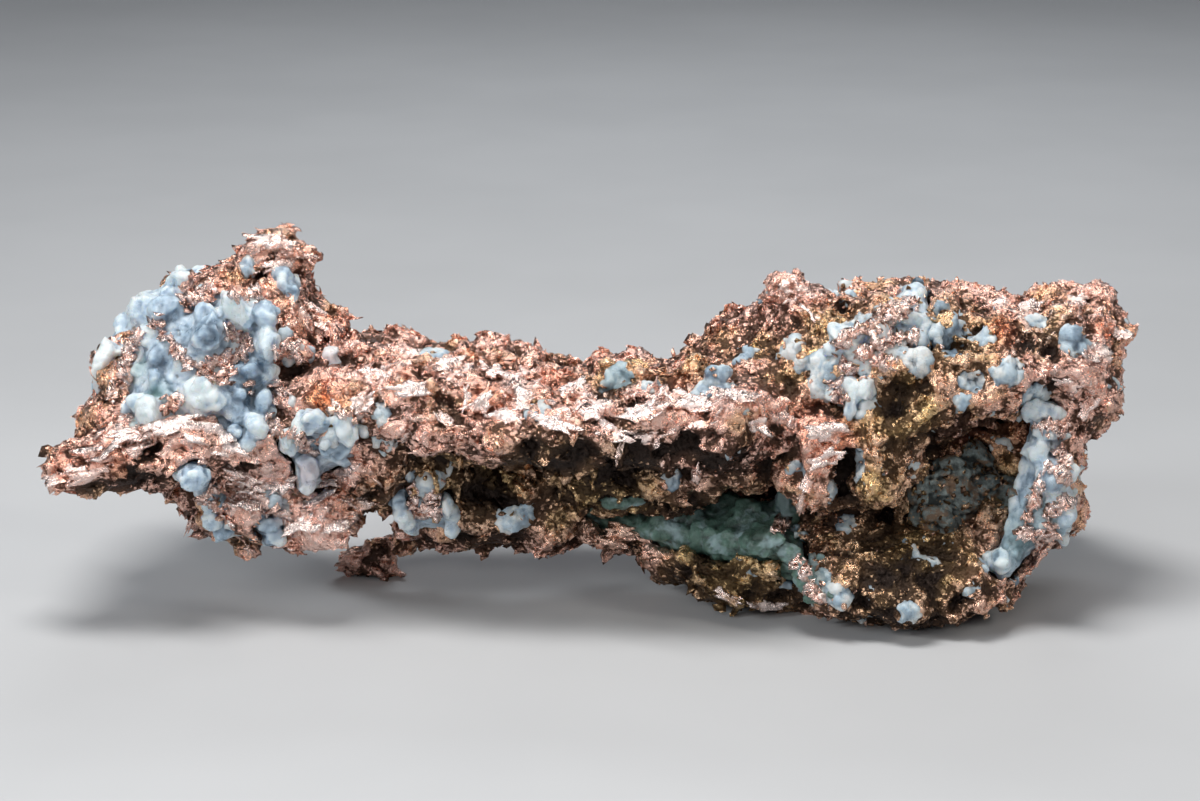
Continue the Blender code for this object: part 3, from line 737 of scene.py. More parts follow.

# torn sheets on the display side: across, up, half length, half width, turn, tip over its long axis, proud, share
# of painted highlight
sheets = [
    (-32.6, 38.6, 2.6, 0.9, -4, 30, 0.1, 0.7), (-30.6, 37.9, 1.5, 0.6, -28, 20, 0.3, 0.5),
    (-34.2, 37.2, 2.4, 0.8, 32, 20, 0.2, 0.4), (-31.8, 36.6, 2.2, 0.7, 18, 35, 0.3, 0.6),
    (-35.2, 35.6, 1.8, 0.7, 30, 25, 0.3, 0.6), (-31.2, 34.9, 1.6, 0.6, -20, 30, 0.3, 0.5),
    (-29.8, 33.4, 1.4, 0.6, -50, 20, 0.3, 0.6), (-28.6, 31.6, 1.3, 0.6, -40, 10, 0.4, 0.6),
    (-27.4, 29.8, 1.3, 0.6, -45, 10, 0.4, 0.5), (-29.8, 30.6, 1.7, 0.8, -60, 10, 0.2, 0.4),
    (-49.6, 17.6, 3, 0.9, 14, 30, 0.2, 0.9), (-46.2, 19.4, 3.2, 0.9, 12, 40, 0.2, 1),
    (-53.2, 15.2, 2.2, 0.8, 10, 20, 0.2, 0.6), (-50.6, 15.4, 2.6, 0.7, 16, 10, 0.2, 0.4),
    (-42.6, 20.4, 3, 1, 4, 35, 0.2, 1), (-39.4, 19.4, 2.6, 0.9, -14, 30, 0.3, 1),
    (-47.4, 17.2, 2.6, 0.7, 16, 5, 0.2, 0.5), (-36.8, 17.6, 2.2, 0.9, -25, 20, 0.2, 0.8),
    (-36.2, 15.4, 2.2, 1, -30, 40, 0.3, 0.9), (-34.4, 14, 2, 1.1, 20, 42, 0.3, 0.9),
    (-31.6, 14.4, 1.8, 1, 30, 40, 0.2, 0.8), (-28.2, 12.9, 1.9, 1, 25, 42, 0.2, 0.9),
    (-29.6, 10.4, 2, 1, 20, 42, 0.3, 0.9), (-26.6, 10.2, 1.7, 1, 10, 45, 0.2, 0.8),
    (-35.4, 12.2, 1.6, 0.9, -10, 45, 0.3, 0.9), (-27, 14.6, 1.8, 0.9, 15, 42, 0.2, 0.8),
    (-24.6, 12.6, 1.7, 0.9, -15, 42, 0.2, 0.8), (-30.9, 8.7, 1.6, 0.8, 10, 42, 0.2, 0.8),
    (-30.2, 37.4, 1.7, 0.55, -24, 15, 0.4, 0.5), (-29.2, 36.9, 0.9, 0.4, -60, 0, 0.4, 0.4),
    (-18.8, 24, 2.1, 0.75, 0, 20, 0.5, 1), (-13.5, 23.3, 1.5, 0.5, 82, 10, 0.3, 1),
    (-22.4, 25.4, 1.8, 0.8, -10, 30, 0.2, 0.9), (-19.6, 27.4, 1.9, 0.7, -12, 40, 0.2, 0.6),
    (-15.6, 26.2, 1.8, 0.8, 5, 35, 0.2, 0.8), (-10.6, 25.6, 1.8, 0.8, -12, 35, 0.2, 0.8),
    (-23.8, 22.6, 1.7, 0.9, 20, 25, 0.1, 0.8), (-9.4, 21.4, 2.2, 1.3, -5, 35, 0.1, 0.8),
    (-14.6, 20.4, 2, 1.2, -20, 35, 0.1, 0.8), (-6.6, 22.6, 2, 1.3, -20, 35, 0.1, 0.9),
    (-4.4, 20.6, 2.3, 1.2, -16, 40, 0.2, 0.9), (-0.6, 21.8, 2.3, 1.4, 16, 35, 0.1, 0.9),
    (1.2, 19.6, 2, 1, -14, 40, 0.2, 0.8), (4.4, 21.4, 2.4, 1.3, 16, 35, 0.1, 0.9),
    (8.8, 22.4, 2.4, 1.3, -8, 35, 0.1, 0.9), (5.6, 19.4, 1.8, 1, 14, 45, 0.2, 0.8),
    (10.6, 20.6, 2.2, 1.1, 16, 40, 0.2, 0.8), (13.8, 23, 2, 1.1, -14, 35, 0.1, 0.8),
    (-2.6, 24, 1.8, 1, 25, 35, 0, 0.8), (-12.2, 22.6, 1.8, 1, 30, 35, 0, 0.8),
    (15.4, 20.8, 2, 0.8, -20, 30, 0.4, 0.8), (18.8, 21, 1.8, 0.8, -30, 20, 0.3, 0.8),
    (22.8, 19.8, 2, 1, -10, 10, 0.3, 0.7), (22.6, 17, 1.9, 0.9, 20, 0, 0.3, 0.8),
    (21, 14.4, 1.3, 0.7, 70, 0, 0.4, 0.6), (19.2, 33.2, 1.3, 0.9, 60, 10, 0.2, 0.8),
    (18.6, 34.2, 0.9, 0.8, 0, 10, 0.3, 0.8), (21.4, 31.2, 1.6, 0.8, -30, 20, 0.2, 0.7),
    (39.8, 32.4, 1.9, 0.8, -8, 30, 0.2, 0.8), (42.6, 31.8, 1.5, 0.7, 5, 30, 0.2, 0.7),
    (47.6, 32.6, 1.6, 0.8, 25, 20, 0.2, 0.8), (51.6, 29.6, 1.6, 0.7, -40, 10, 0.1, 0.6),
    (49.4, 27.4, 1.8, 0.9, -15, 20, 0.2, 0.9), (44.8, 27.2, 2, 0.8, 5, 30, 0.2, 0.9),
    (46.8, 24.6, 1.8, 0.8, -10, 20, 0.2, 0.8), (48.8, 22.4, 1.4, 0.8, 60, 10, 0.2, 0.7),
    (-35, 7.9, 0.9, 0.4, -60, 0, 0, 0.3), (-40.9, 10.6, 1.3, 0.25, 70, 0, 0.2, 0.3),
    (3.4, 7.9, 2.4, 0.9, -8, 0, 0, 0), (6.2, 7.2, 2.2, 0.9, -10, 0, 0, 0), (1, 8.6, 1.8, 0.8, -4, 0, 0, 0),
    (1.8, 9.8, 2, 0.7, -6, 0, 0.2, 0), (3.8, 9.2, 1.8, 0.7, -10, 0, 0.2, 0),
    (12.8, 3.2, 1.9, 0.7, -24, 30, 0.2, 0.9), (16.2, 2.3, 1.9, 0.7, -8, 30, 0.2, 0.8),
    (6.6, 16.6, 1, 0.5, 80, 0, 0.5, 0.4), (9.8, 15.8, 1.2, 0.5, 84, 0, 0.5, 0.4),
    (20.3, 12.6, 1.5, 0.5, 80, 0, 0.4, 0.4), (2, 17.4, 1.2, 0.5, 70, 0, 0.5, 0.4)]

# lines of copper leaves between the crystals: places as across and up
tracery = [
    [(-41.6, 32.3), (-39.6, 33.3), (-38.6, 34.4)], [(-45, 30.4), (-44.2, 30.8)],
    [(-46.3, 29.2), (-47.2, 27.6), (-47.8, 25.6), (-48.8, 22.8)],
    [(-43.6, 29.3), (-42.1, 27.4), (-41.3, 26.4)], [(-40.3, 26), (-37.9, 26.8), (-35.8, 27.2), (-35, 29.1)],
    [(-37.9, 26.8), (-36.9, 25.5), (-38.9, 24.6)], [(-37.6, 30), (-36.2, 29)], [(-35.2, 24.5), (-34.8, 24.1)],
    [(-42.3, 23.2), (-43.6, 21.7)], [(-32.6, 24.4), (-31.6, 23)],
    [(-32.6, 27.2), (-30.8, 28.5), (-29.7, 26.6)], [(-30.9, 19.6), (-28.7, 17.5)],
    [(-35, 14.4), (-33.3, 11.8), (-30.8, 11)], [(-26.6, 21.8), (-25, 21), (-23.6, 21.8)],
    [(-38.6, 12.6), (-37, 10.4)], [(-47.9, 19.2), (-46, 19.1), (-43.6, 19.6)],
    [(-36.9, 33.4), (-35.2, 33), (-33.6, 33.6)], [(-33.2, 21), (-32, 19.2)], [(-16.6, 13.6), (-16.2, 11.6)],
    [(-19.2, 11.9), (-17.8, 11.4), (-16.2, 11.8)], [(-18.7, 14.2), (-18.3, 12.4)],
    [(27.4, 26.6), (29.4, 26.4)], [(23.4, 28.2), (25.6, 29.6), (28, 30.6), (30.4, 31.6)],
    [(25.8, 27.2), (28.8, 28.6), (31.4, 29.2)], [(24, 26.6), (25.6, 25.4)], [(27.8, 31.6), (31.6, 32.6)],
    [(23, 24.8), (24.6, 22.8)], [(43.6, 20.4), (45.4, 19.6), (46.8, 20.2)], [(45.2, 16.2), (45.8, 15.6)],
    [(42, 9.6), (44, 9)], [(44.6, 11.6), (47, 12.6)], [(45.8, 17.8), (46.6, 16.4), (46.4, 14.4)],
    [(44, 14.4), (43.4, 12.6), (42.6, 10.8)], [(45.4, 10.6), (43.6, 7.8)], [(-38.9, 14.2), (-39.6, 12.6)],
    [(19.4, 6.8), (20.6, 5.6)], [(17.2, 9.6), (18.8, 10.8)], [(21, 4), (22.4, 2.8)]]
# the leaves along the lines carry painted highlight
traceryForm = {"sides": 8, "size": (0.75, 0.42, 0.16), "lift": 1.3, "tilt": 0.8, "lean": (0.0, 0.4),
               "proud": 0.1, "every": 0.09, "spread": 0.28, "gold": (0.0, 0.4), "nick": (-0.3, 0.7),
               "marks": {"bright": 0.9}}


def marked(size, **known):
    # one value a corner for each of the copper's marks, 0 for those that aren't given
    names = ("gold", "rust", "soot", "bright", "nick", "hollow", "under")
    return {name: known.get(name, 0) + np.zeros(size) for name in names}


def crispLeaves(places, normals, rng, field):
    # torn leaves at those places, each with its own random share of gold and of lightness, and the painted light
    # and shade marks that its field gives
    shape = shardField(places, normals, rng, field)
    own = {name: np.repeat(rng.uniform(*field[name], len(places)), field["sides"] + 2) for name in ("gold", "nick")}
    return shape, marked(len(shape[0]), **own, **field["marks"])


def specks(skin, field, rng):
    # fine leaves here and there on crystals and rock
    places, normals, _ = strewn(*skin, field["count"], rng)
    return crispLeaves(places, normals, rng, field)


def sheetAt(row, tree, rng):
    # a torn sheet set where its line of sight meets the skin, facing between the skin's normal and the eye, turned
    # in its own plane and tipped over its long axis
    across, up, halfLong, halfWide, turn, tip, proud, bright = row
    hit, normal, toEye = onSkin(tree, across, up)
    face = unit(normal + sheetForm["toEye"] * toEye)
    side, rise = sideAndRise(face)
    turn, tip = math.radians(turn), math.radians(tip)
    long = side * math.cos(turn) + rise * math.sin(turn)
    wide = np.cross(face, long)
    axes = np.stack([long, wide * math.cos(tip) - face * math.sin(tip),
                     face * math.cos(tip) + wide * math.sin(tip)])
    points, faces, height = crumpledSheet(rng, (halfLong, halfWide), sheetForm)
    points = points @ axes + hit + face * proud
    zones = {name: zoned(points, copper[name]) for name in ("gold", "rust", "soot")}
    # the crumple's crests lighter as painted highlight and its dips darker as painted shade
    nick = np.clip(height / 0.2, -0.6, 1)
    return (points, faces), marked(len(points), **zones, bright=bright, nick=nick, hollow=0.2)


def traced(tree, rng):
    # crisp leaves scattered along the lines, each on the skin of the crystals
    places, normals = [], []
    for line in tracery:
        line = np.array(line)
        for start, end in zip(line[:-1], line[1:]):
            count = max(2, int(np.linalg.norm(end - start) / traceryForm["every"]))
            for share in rng.random(count):
                spot = start + (end - start) * share + rng.normal(size=2) * traceryForm["spread"]
                hit, normal, _ = onSkin(tree, *spot)
                places.append(hit)
                normals.append(normal)
    return crispLeaves(np.array(places), np.array(normals), rng, traceryForm)


def gathered(name, parts):
    # one object from many closed shapes and the marks of their corners
    made = newObject(name, *joined([shape for shape, _ in parts]))
    for key in parts[0][1]:
        store(made, key, np.concatenate([marks[key] for _, marks in parts]))
    return made


def freed(made):
    # leaves out the crumbs: every corner takes the lowest number that reaches it over the faces, and a number with
    # few corners goes
    points, faces = readBack(made)
    part = np.arange(len(points))
    while True:
        spread = part.copy()
        for corner in faces.T:
            np.minimum.at(spread, corner, part[faces].min(1))
        spread = spread[spread]
        if (spread == part).all():
            break
        part = spread
    crumbs = set(np.flatnonzero(np.bincount(part, minlength=len(points))[part] < copper["crumb"]).tolist())
    shape = bmesh.new()
    shape.from_mesh(made.data)
    bmesh.ops.delete(shape, geom=[corner for corner in shape.verts if corner.index in crumbs], context="VERTS")
    shape.to_mesh(made.data)
    shape.free()
    return made


def halfOf(whole, name, side):
    # one side of the seam, closed across it
    shape = bmesh.new()
    shape.from_mesh(whole.data)
    cut = bmesh.ops.bisect_plane(shape, geom=shape.verts[:] + shape.edges[:] + shape.faces[:],
                                 plane_co=(copper["seam"] * mm, 0, 0), plane_no=(1, 0, 0),
                                 clear_outer=side < 0, clear_inner=side > 0)
    rim = [part for part in cut["geom_cut"] if isinstance(part, bmesh.types.BMEdge)]
    bmesh.ops.triangle_fill(shape, edges=rim, use_beauty=True, normal=(-side, 0, 0))
    mesh = bpy.data.meshes.new(name)
    shape.to_mesh(mesh)
    shape.free()
    return placed(name, mesh)


# crystals: packed, listed and strewn blocks melted into one frosted mass for each cluster

crystalForm = {"around": 20, "rows": 9, "sides": (4, 7), "soft": 0.25, "taper": 0.3, "planes": 6}
grainForm = {"around": 10, "rows": 5, "sides": (4, 7), "soft": 0.3, "taper": 0.3, "planes": 4}

grownBy = {
    "head_quartz": [
        (-44.6, 31.2, 3.4, 1.8, -12), (-47.4, 30.2, 1.5, 2, 25), (-49.7, 26.6, 1.2, 3.4, -14),
        (-41.6, 35, 2.2, 1.1, 5), (-38.5, 34.8, 1.6, 1, -10), (-39.4, 33.8, 1.5, 0.8, 0),
        (-31.3, 29.1, 1, 1.2, 0), (-33.4, 31.3, 1.5, 1.6, 0), (-33.1, 28.5, 1.3, 1.9, 0),
        (-46, 25.7, 1.2, 1.2, 0), (-43.8, 27.1, 1.5, 1.9, 0), (-43.4, 23, 1.4, 1.2, 20),
        (-47.3, 21.6, 1, 1.1, 0), (-46.6, 20.3, 1.1, 0.9, 0), (-45.2, 21.9, 1.5, 1.5, -20),
        (-40.3, 26.2, 0.7, 1.3, 15), (-41.9, 25.7, 1.3, 1.3, 0), (-39.4, 30.2, 1.8, 2.4, 0),
        (-36.6, 31.9, 1.6, 2.6, 35), (-36.5, 19.5, 1.2, 1, 30), (-35.3, 18.3, 1.2, 0.8, 0),
        (-34.1, 19.9, 1.2, 1.2, 0), (-36.3, 23, 1.4, 2, 10), (-36.8, 24.6, 1.7, 1.2, -15),
        (-33.8, 22.6, 1.3, 2.1, -8), (-39.8, 23.1, 1.9, 2.3, 0), (-38.1, 22.7, 1.1, 1.4, 0),
        (-34.9, 25.7, 1.4, 1, 0), (-33.2, 25.5, 1, 1.2, 0), (-48, 28.3, 1.2, 1.4, 0),
        (-43.5, 31.9, 2.2, 1.8, 15), (-41, 32.8, 1.4, 1.1, 0), (-42.6, 28.5, 1.6, 1.2, 0)],
    "neck_quartz": [
        (-27.2, 20.3, 0.9, 1.1, 0), (-30.1, 20, 1, 1, 0), (-30.9, 22.4, 0.7, 1.3, 0),
        (-28.6, 20.7, 1.6, 1.4, 0), (-27.5, 18.3, 0.9, 0.9, 0), (-27.4, 17.8, 1.1, 0.9, 0),
        (-23.6, 19.8, 0.8, 1.1, 0), (-22.4, 18.2, 1.1, 0.8, 0), (-25.7, 20.2, 1, 1.7, 0),
        (-25.7, 17.7, 1.2, 1.4, 0), (-29.7, 16.7, 1, 1.1, 0), (-29.1, 15.3, 1.1, 1.3, 10),
        (-29.5, 14, 0.9, 1, 0), (-31.1, 18.7, 1, 1.6, 10)],
    "belly_quartz": [
        (-32.7, 12.7, 1.2, 1.2, 0), (-31.4, 11.7, 1.1, 1.3, 0)],
    "under_neck_quartz": [
        (-18, 12.8, 0.8, 0.9, 0), (-17, 11.8, 0.9, 0.8, 0), (-20.4, 13.5, 1.4, 1.1, 0),
        (-19.8, 11.2, 1, 1.5, 10), (-14.5, 11.4, 0.9, 1.5, 0)],
    "ridge_quartz": [
        (30.3, 31.2, 2.5, 1.1, -18), (24.4, 28.4, 2.2, 1, -32)],
    "flank_quartz": [
        (45.6, 21.4, 1.2, 1.1, 0), (43.1, 21.6, 1.2, 1.2, 0), (46.6, 19.2, 1.2, 0.8, 0),
        (41.4, 7.8, 1.1, 0.9, 0), (46.4, 9, 0.9, 1, 0), (45.3, 12.8, 1.8, 2.2, 0), (46.6, 11.2, 1.1, 1.6, 0),
        (46.9, 15.9, 1.1, 1.8, 0), (43.8, 17.5, 1.5, 1.6, 0)],
    "green_prehnite": [
        (-1.4, 13.2, 1.5, 0.8, 5), (1.4, 12.6, 2, 1.2, 0), (21.6, 3, 1.2, 0.9, 0), (23.2, 3.6, 1.1, 1, 0),
        (22, 7.2, 1.1, 0.8, 0), (16.2, 8.7, 2.2, 1.6, 0), (18.7, 7.5, 1.5, 1.2, 0), (20.6, 5, 1, 1.6, 10),
        (18.6, 12.8, 1, 2.3, -8), (4, 12.8, 2, 1.2, 0), (9, 10.8, 2.2, 1.8, 10), (12.5, 12.3, 1.8, 1.6, 0)],
    "vug_rock": [
        (40.3, 12, 1, 0.9, 0), (39, 14.7, 0.8, 1.1, 15), (41.5, 13.4, 1.6, 1.4, -15)],
    "head_grains": [
        (-34.8, 36.7, 0.6, 0.7, 0), (-35.5, 35.5, 0.8, 0.7, 0), (-31.7, 35.1, 0.8, 0.7, 0),
        (-35, 33.5, 0.8, 0.6, 0), (-30.9, 33.3, 1, 1.3, 0), (-28.5, 27, 0.6, 1, 0),
        (-30.3, 27.6, 1.5, 0.9, 0), (-27.1, 27, 1.3, 1.1, 0)],
}

crystals = {
    "depth": 0.5,        # half depth past the share of the mean of the other half sizes
    "sunk": 0.45,        # share of the depth that is below the skin
    "patchSunk": 0.9,
    "lean": 1.2,
    "strewn": 0.05,      # small crystals a square mm of a cluster
    "bare": ("ridge_quartz", "column_quartz", "slope_quartz"),
    "small": (0.5, 1.2),
    "patch": 4.2,        # crystals to a patch, for each square mm of half width times half height
    # places on the display side: across, up, reach, strength
    "pale": [
        (-45, 31.5, 6, 1.2), (-49, 27, 5, 1.2), (-41, 35, 3, 0.8), (-40.5, 23.3, 3, 0.7),
        (-33.5, 30.5, 3, 0.8), (-45.5, 21.8, 2.5, 0.9), (-28, 19.8, 4, 0.7), (28.5, 29.8, 7, 0.8),
        (46, 15, 5, 0.4), (26, 23.8, 4, 0.6), (-36.5, 31, 2, 0.6), (-25.5, 19.5, 3, 0.6)],
    "slate": [
        (43, 9, 6, 0.7), (-40.4, 14.5, 4, 0.5), (36, 29, 5, 0.6), (11.4, 24.6, 4, 0.7), (2, 24.6, 4, 0.7),
        (13.8, 28.4, 4, 0.7), (7.1, 15, 3, 0.7), (47.6, 28.8, 3, 0.6), (41, 26, 3, 0.6), (-36.3, 23, 3, 1),
        (-35.5, 19.4, 3, 0.9), (-33.2, 9.6, 3.5, 0.9), (-43.8, 27.1, 2.6, 0.9), (-39.5, 29.6, 2.6, 0.8),
        (-35, 25.6, 2.6, 0.8), (-20, 12.5, 4, 0.7), (34, 26, 4, 0.6)],
    "green": [
        (18.4, 12.4, 3, 0.9), (18.6, 9.8, 3, 0.9), (20.4, 6.8, 3, 0.8), (21.6, 4.2, 3, 0.7),
        (-45.9, 25.9, 2.2, 0.9), (-46.7, 20.6, 2.2, 0.9), (-44.1, 23.2, 2.4, 1), (42, 9, 5, 0.6),
        (2, 25, 4, 0.5), (45, 11, 4, 0.5)],
    "rosy": [
        (-30.3, 27.6, 2.2, 1), (-27.1, 27, 2.2, 1), (-29.3, 15.5, 2.6, 1), (-31.4, 11.7, 2.2, 0.9)],
}

# how each kind of mass is melted: voxel, rounds of evening, creased blocks, creased grit, soft noise
masses = {
    "quartz": {"grain": 0.25, "rounds": 1, "filled": (2, 30, 0.8), "blocks": (1.7, 0.16, 44),
               "grit": (((0.9, 0.7, 0.7), 0.08, 46),), "soft": ((2.4, 0.18, 41), (0.9, 0.09, 42))},
    "prehnite": {"grain": 0.32, "rounds": 8, "filled": (2, 60, 0.8), "blocks": (1.6, 0.3, 47),
                 "grit": (((1.2, 0.7, 0.7), 0.16, 48),), "soft": ((3.4, 0.3, 43), (1.0, 0.1, 42))},
    "wall_rock": {"grain": 0.25, "rounds": 150, "filled": (2, 60, 0.8), "blocks": (1.4, 0.06, 49),
                  "grit": (((3.0, 1.4, 1.3), 0.5, 50), ((1.3, 0.9, 0.8), 0.3, 53)),
                  "soft": ((2.4, 0.2, 41), (0.6, 0.1, 42))},
}


def setCrystal(rng, form, halves, axes, place):
    # one crystal's corners and faces, then its own tone, its middle and how far it reaches
    points, faces = crystalShape(rng, form)
    return points * halves @ axes + place, faces, rng.random(), place, float(np.mean(halves))


def crystalAt(row, rng, form, sunk):
    # one crystal set where its line of sight meets the skin, leaning toward the eye
    across, up, halfWidth, halfHeight, turn = row
    hit, normal, toEye = onSkin(solidsTree, across, up)
    out = unit(normal + toEye * crystals["lean"])
    side, rise = sideAndRise(out)
    angle = math.radians(turn)
    axes = np.stack([side * math.cos(angle) + rise * math.sin(angle),
                     rise * math.cos(angle) - side * math.sin(angle), out])
    halfDepth = (halfWidth + halfHeight) / 2 * 0.8 + crystals["depth"]
    return setCrystal(rng, form, (halfWidth, halfHeight, halfDepth), axes, hit - out * halfDepth * sunk)


def strewnCrystals(skin, rng, form, count):
    # small crystals standing on a skin at random, each leaning and turned its own way
    places, normals, _ = strewn(*skin, count, rng)
    made = []
    for place, normal in zip(places, normals):
        out = unit(normal + rng.normal(size=3) * 0.35)
        side = unit(np.cross(out, rng.normal(size=3)))
        halves = rng.uniform(*crystals["small"]) * rng.uniform(0.7, 1.25, 3)
        made.append(setCrystal(rng, form, halves, np.stack([side, np.cross(out, side), out]),
                               place - out * halves[2] * 0.55))
    return made


def patchOf(row, rng, form):
    # an irregular patch of small crystals: places at random in the row's ellipse, each set on the skin
    across, up, halfWidth, halfHeight, turn = row
    count = max(3, int(halfWidth * halfHeight * crystals["patch"]))
    angle = math.radians(-turn)
    made = []
    for x, y in rng.normal(size=(count, 2)) * 0.5 * (halfWidth, halfHeight):
        size = rng.uniform(0.6, 1.15)
        place = (across + x * math.cos(angle) - y * math.sin(angle), up + x * math.sin(angle) + y * math.cos(angle))
        row = (*place, size, size * rng.uniform(0.7, 1.3), rng.uniform(-40, 40))
        made.append(crystalAt(row, rng, form, crystals["patchSunk"]))
    return made


def toneOf(points, stones, tone):
    # the tone of the crystal whose middle is nearest for its reach, and the mass's own tone away from them all
    middles = np.array([stone[3] for stone in stones])
    reaches = np.array([stone[4] for stone in stones])
    tones = np.array([stone[2] for stone in stones])
    square = (points ** 2).sum(1)[:, None] - 2 * points @ middles.T + (middles ** 2).sum(1)[None]
    away = np.sqrt(np.maximum(square, 0)) / reaches
    nearest = away.argmin(1)
    share = 1 - ramp(away[np.arange(len(points)), nearest], 1.0, 1.5)
    return tone * (1 - share) + tones[nearest] * share


def dress(made, points, edge, tone):
    # what the finishes read, and smooth shading
    tone = tone + 0.65 * zoned(points, crystals["pale"]) - 0.7 * zoned(points, crystals["slate"])
    # how far it stands out, which the finishes paint lighter on crests and darker in hollows
    store(made, "edge", np.clip(edge / 0.06, -1, 1))
    store(made, "tone", np.clip(tone, -0.3, 1.3))
    for zone in ("green", "rosy"):
        store(made, zone, zoned(points, crystals[zone]))
    smoothed(made)
    made.data.update()


def blockRelief(points, layer, drift):
    # the height of creased blocks over places that noise moves about, and each block's tone
    size, depth, seed = layer
    gap, tone = blocks(points + soft(points, (drift,))[:, None], size, seed)
    return depth * (ramp(gap, 0, 0.4) - 0.5), tone


def edgeOf(made, points, edges, rounds):
    # how far each corner stands out of the evened skin, itself evened
    return evened(((points - evened(points, edges, 5)) * outward(made)).sum(1)[:, None], edges, rounds)[:, 0]


def fused(name, skins, stones, kind):
    # one frosted mass: every closed shape melted together, evened, let out along its normals by creased blocks,
    # grit and soft noise; its finish reads each corner's tone, how far it stands out, and the zones
    look = masses[kind]
    whole = remeshed(newObject(name, *joined(skins + [stone[:2] for stone in stones])), look["grain"])
    edges = edgesOf(whole)
    points = evened(readBack(whole)[0], edges, look["rounds"])
    movedTo(whole, points)
    times, rounds, share = look["filled"]
    for _ in range(times):
        normals = outward(whole)
        hollow = ((evened(points, edges, rounds) - points) * normals).sum(1)
        points = points + normals * np.maximum(hollow, 0)[:, None] * share
        movedTo(whole, points)
    height, tone = blockRelief(points, look["blocks"], (1.3, 0.4, 45))
    height = height + relief(points, look["grit"])
    height = height + soft(points, look["soft"])
    points = points + outward(whole) * height[:, None]
    movedTo(whole, points)
    edge = edgeOf(whole, points, edges, 2)
    if stones:
        tone = toneOf(points, stones, tone)
    dress(whole, points, edge, tone)
    return whole


# thin granular quartz crusts on the copper: zones as across, up, reach, strength
crust = {
    "zones": [
        (-19.6, 15.4, 2.2, 1), (-17.6, 14.4, 1.8, 1), (-16.2, 14.8, 1.8, 0.9), (31, 32.4, 4.2, 1.2),
        (28.6, 31, 4.2, 1.2), (26.6, 30, 3.6, 1.2), (24.4, 28.6, 3.6, 1.2), (22.8, 27.4, 3.2, 1.1),
        (25, 33.4, 2.8, 1), (31.4, 34, 2.8, 1), (27.5, 28.4, 3, 1), (25.6, 24.6, 2.8, 1.1),
        (26, 22.4, 2.8, 1.1), (22.6, 24, 2.8, 1), (33, 29.6, 3.4, 1), (36, 30, 3.4, 1),
        (34.6, 27.6, 3.4, 0.9), (38.2, 28.8, 2.8, 1), (32, 26.6, 3, 0.9), (36.6, 24.4, 2.8, 1.1),
        (36.4, 22.6, 2.2, 1), (47.6, 28.8, 2.6, 1.2), (44.6, 21.6, 3.4, 1.1), (43, 20, 2.6, 1),
        (46.4, 19, 2.6, 1), (42, 8.6, 3.6, 1.1), (44.5, 9.5, 3.2, 1.1), (40, 6.8, 2.4, 1),
        (18.4, 12.4, 2.4, 1), (18.6, 9.8, 2.4, 1), (20.4, 6.8, 2.8, 1.1), (21.6, 4.2, 2.8, 1.1),
        (23.4, 3.2, 2, 1), (30.8, 1.8, 2.2, 1), (36.9, 3.7, 2, 0.9), (13.8, 28.4, 3.6, 1.1),
        (11.4, 24.6, 3.4, 1), (2, 24.6, 3.2, 1.1), (5.4, 23.8, 2.2, 0.8), (-16.5, 27.2, 2.6, 1),
        (-21.6, 21.5, 2.2, 1), (-21.6, 18.8, 2.4, 1), (-17.6, 22, 2, 0.8), (-6.2, 21.4, 2.4, 1),
        (-9.4, 10.9, 2.8, 1.1), (-7.4, 11.1, 2, 1), (7.1, 15, 2, 1.1), (-15.6, 16.2, 1.6, 0.9),
        (-40.4, 14.6, 3.6, 1.2), (-39, 12, 2.8, 1.1), (-37.4, 9.8, 3, 1.1), (-33.3, 9.8, 3, 1.1),
        (-31.9, 12.4, 2.4, 1), (41, 26, 2.2, 0.8), (43.6, 30.8, 2, 0.8), (26.2, 16, 2.2, 0.9),
        (25, 10.2, 2.4, 0.9), (23.4, 13.7, 1.8, 0.9), (18.8, 28.4, 2.6, 0.9), (-26.5, 19.4, 3.4, 0.9)],
    "lobe": 0.05,
    "back": 0.1,
    "level": 0.36,
    "triangles": 52000,
    "ragged": ((2.4, 0.42, 61), (0.9, 0.3, 62)),
    "rise": 0.56,
    "sunk": 0.26,
    "blocks": (1.0, 0.22, 63),
    "grit": (((0.7, 0.55, 0.55), 0.1, 64),),
    "thick": 0.45,
}


def crustShare(points):
    # above 0 where a crust lies: the zones and the lobe's and the back's own shares less the level, and soft noise
    zones, lobe, back = zoned(points, crust["zones"]), ramp(points[:, 0], 6, 18), ramp(points[:, 1], 3, 9)
    ragged = soft(points, crust["ragged"])
    reached = np.maximum(np.maximum(lobe, back), ramp(zones, 0, 0.3))
    return zones + crust["lobe"] * lobe + crust["back"] * back - crust["level"] + ragged * reached


def crusted(whole, name):
    # the part of the copper's skin where the share is above 0, evened, let out along its normals by a rise that
    # eases in over the share, creased blocks and grit, and thickened inward into a closed shell
    points, faces = readBack(whole)
    edges = edgesOf(whole)
    share = crustShare(points)
    smooth = evened(points, edges, 4)
    raised, tone = blockRelief(smooth, crust["blocks"], (0.8, 0.25, 45))
    height = crust["rise"] * ramp(share, -0.08, 0.2) - crust["sunk"] + raised
    points = smooth + outward(whole) * (height + relief(smooth, crust["grit"]))[:, None]
    edge = edgeOf(whole, points, edges, 1)
    kept = faces[(share[faces] > -0.1).any(1)]
    used, flat = np.unique(kept, return_inverse=True)
    made = newObject(name, points[used], flat.reshape(-1, 3))
    dress(made, points[used], edge[used], tone[used])
    applied(made, "DECIMATE", ratio=min(1, crust["triangles"] / len(kept)))
    return applied(made, "SOLIDIFY", thickness=crust["thick"] * mm, offset=-1)


def areaOf(points, faces):
    # half the length of each triangle's cross product, added up
    a, b, c = (points[faces[:, k]] for k in range(3))
    return np.linalg.norm(np.cross(b - a, c - a), axis=1).sum() / 2


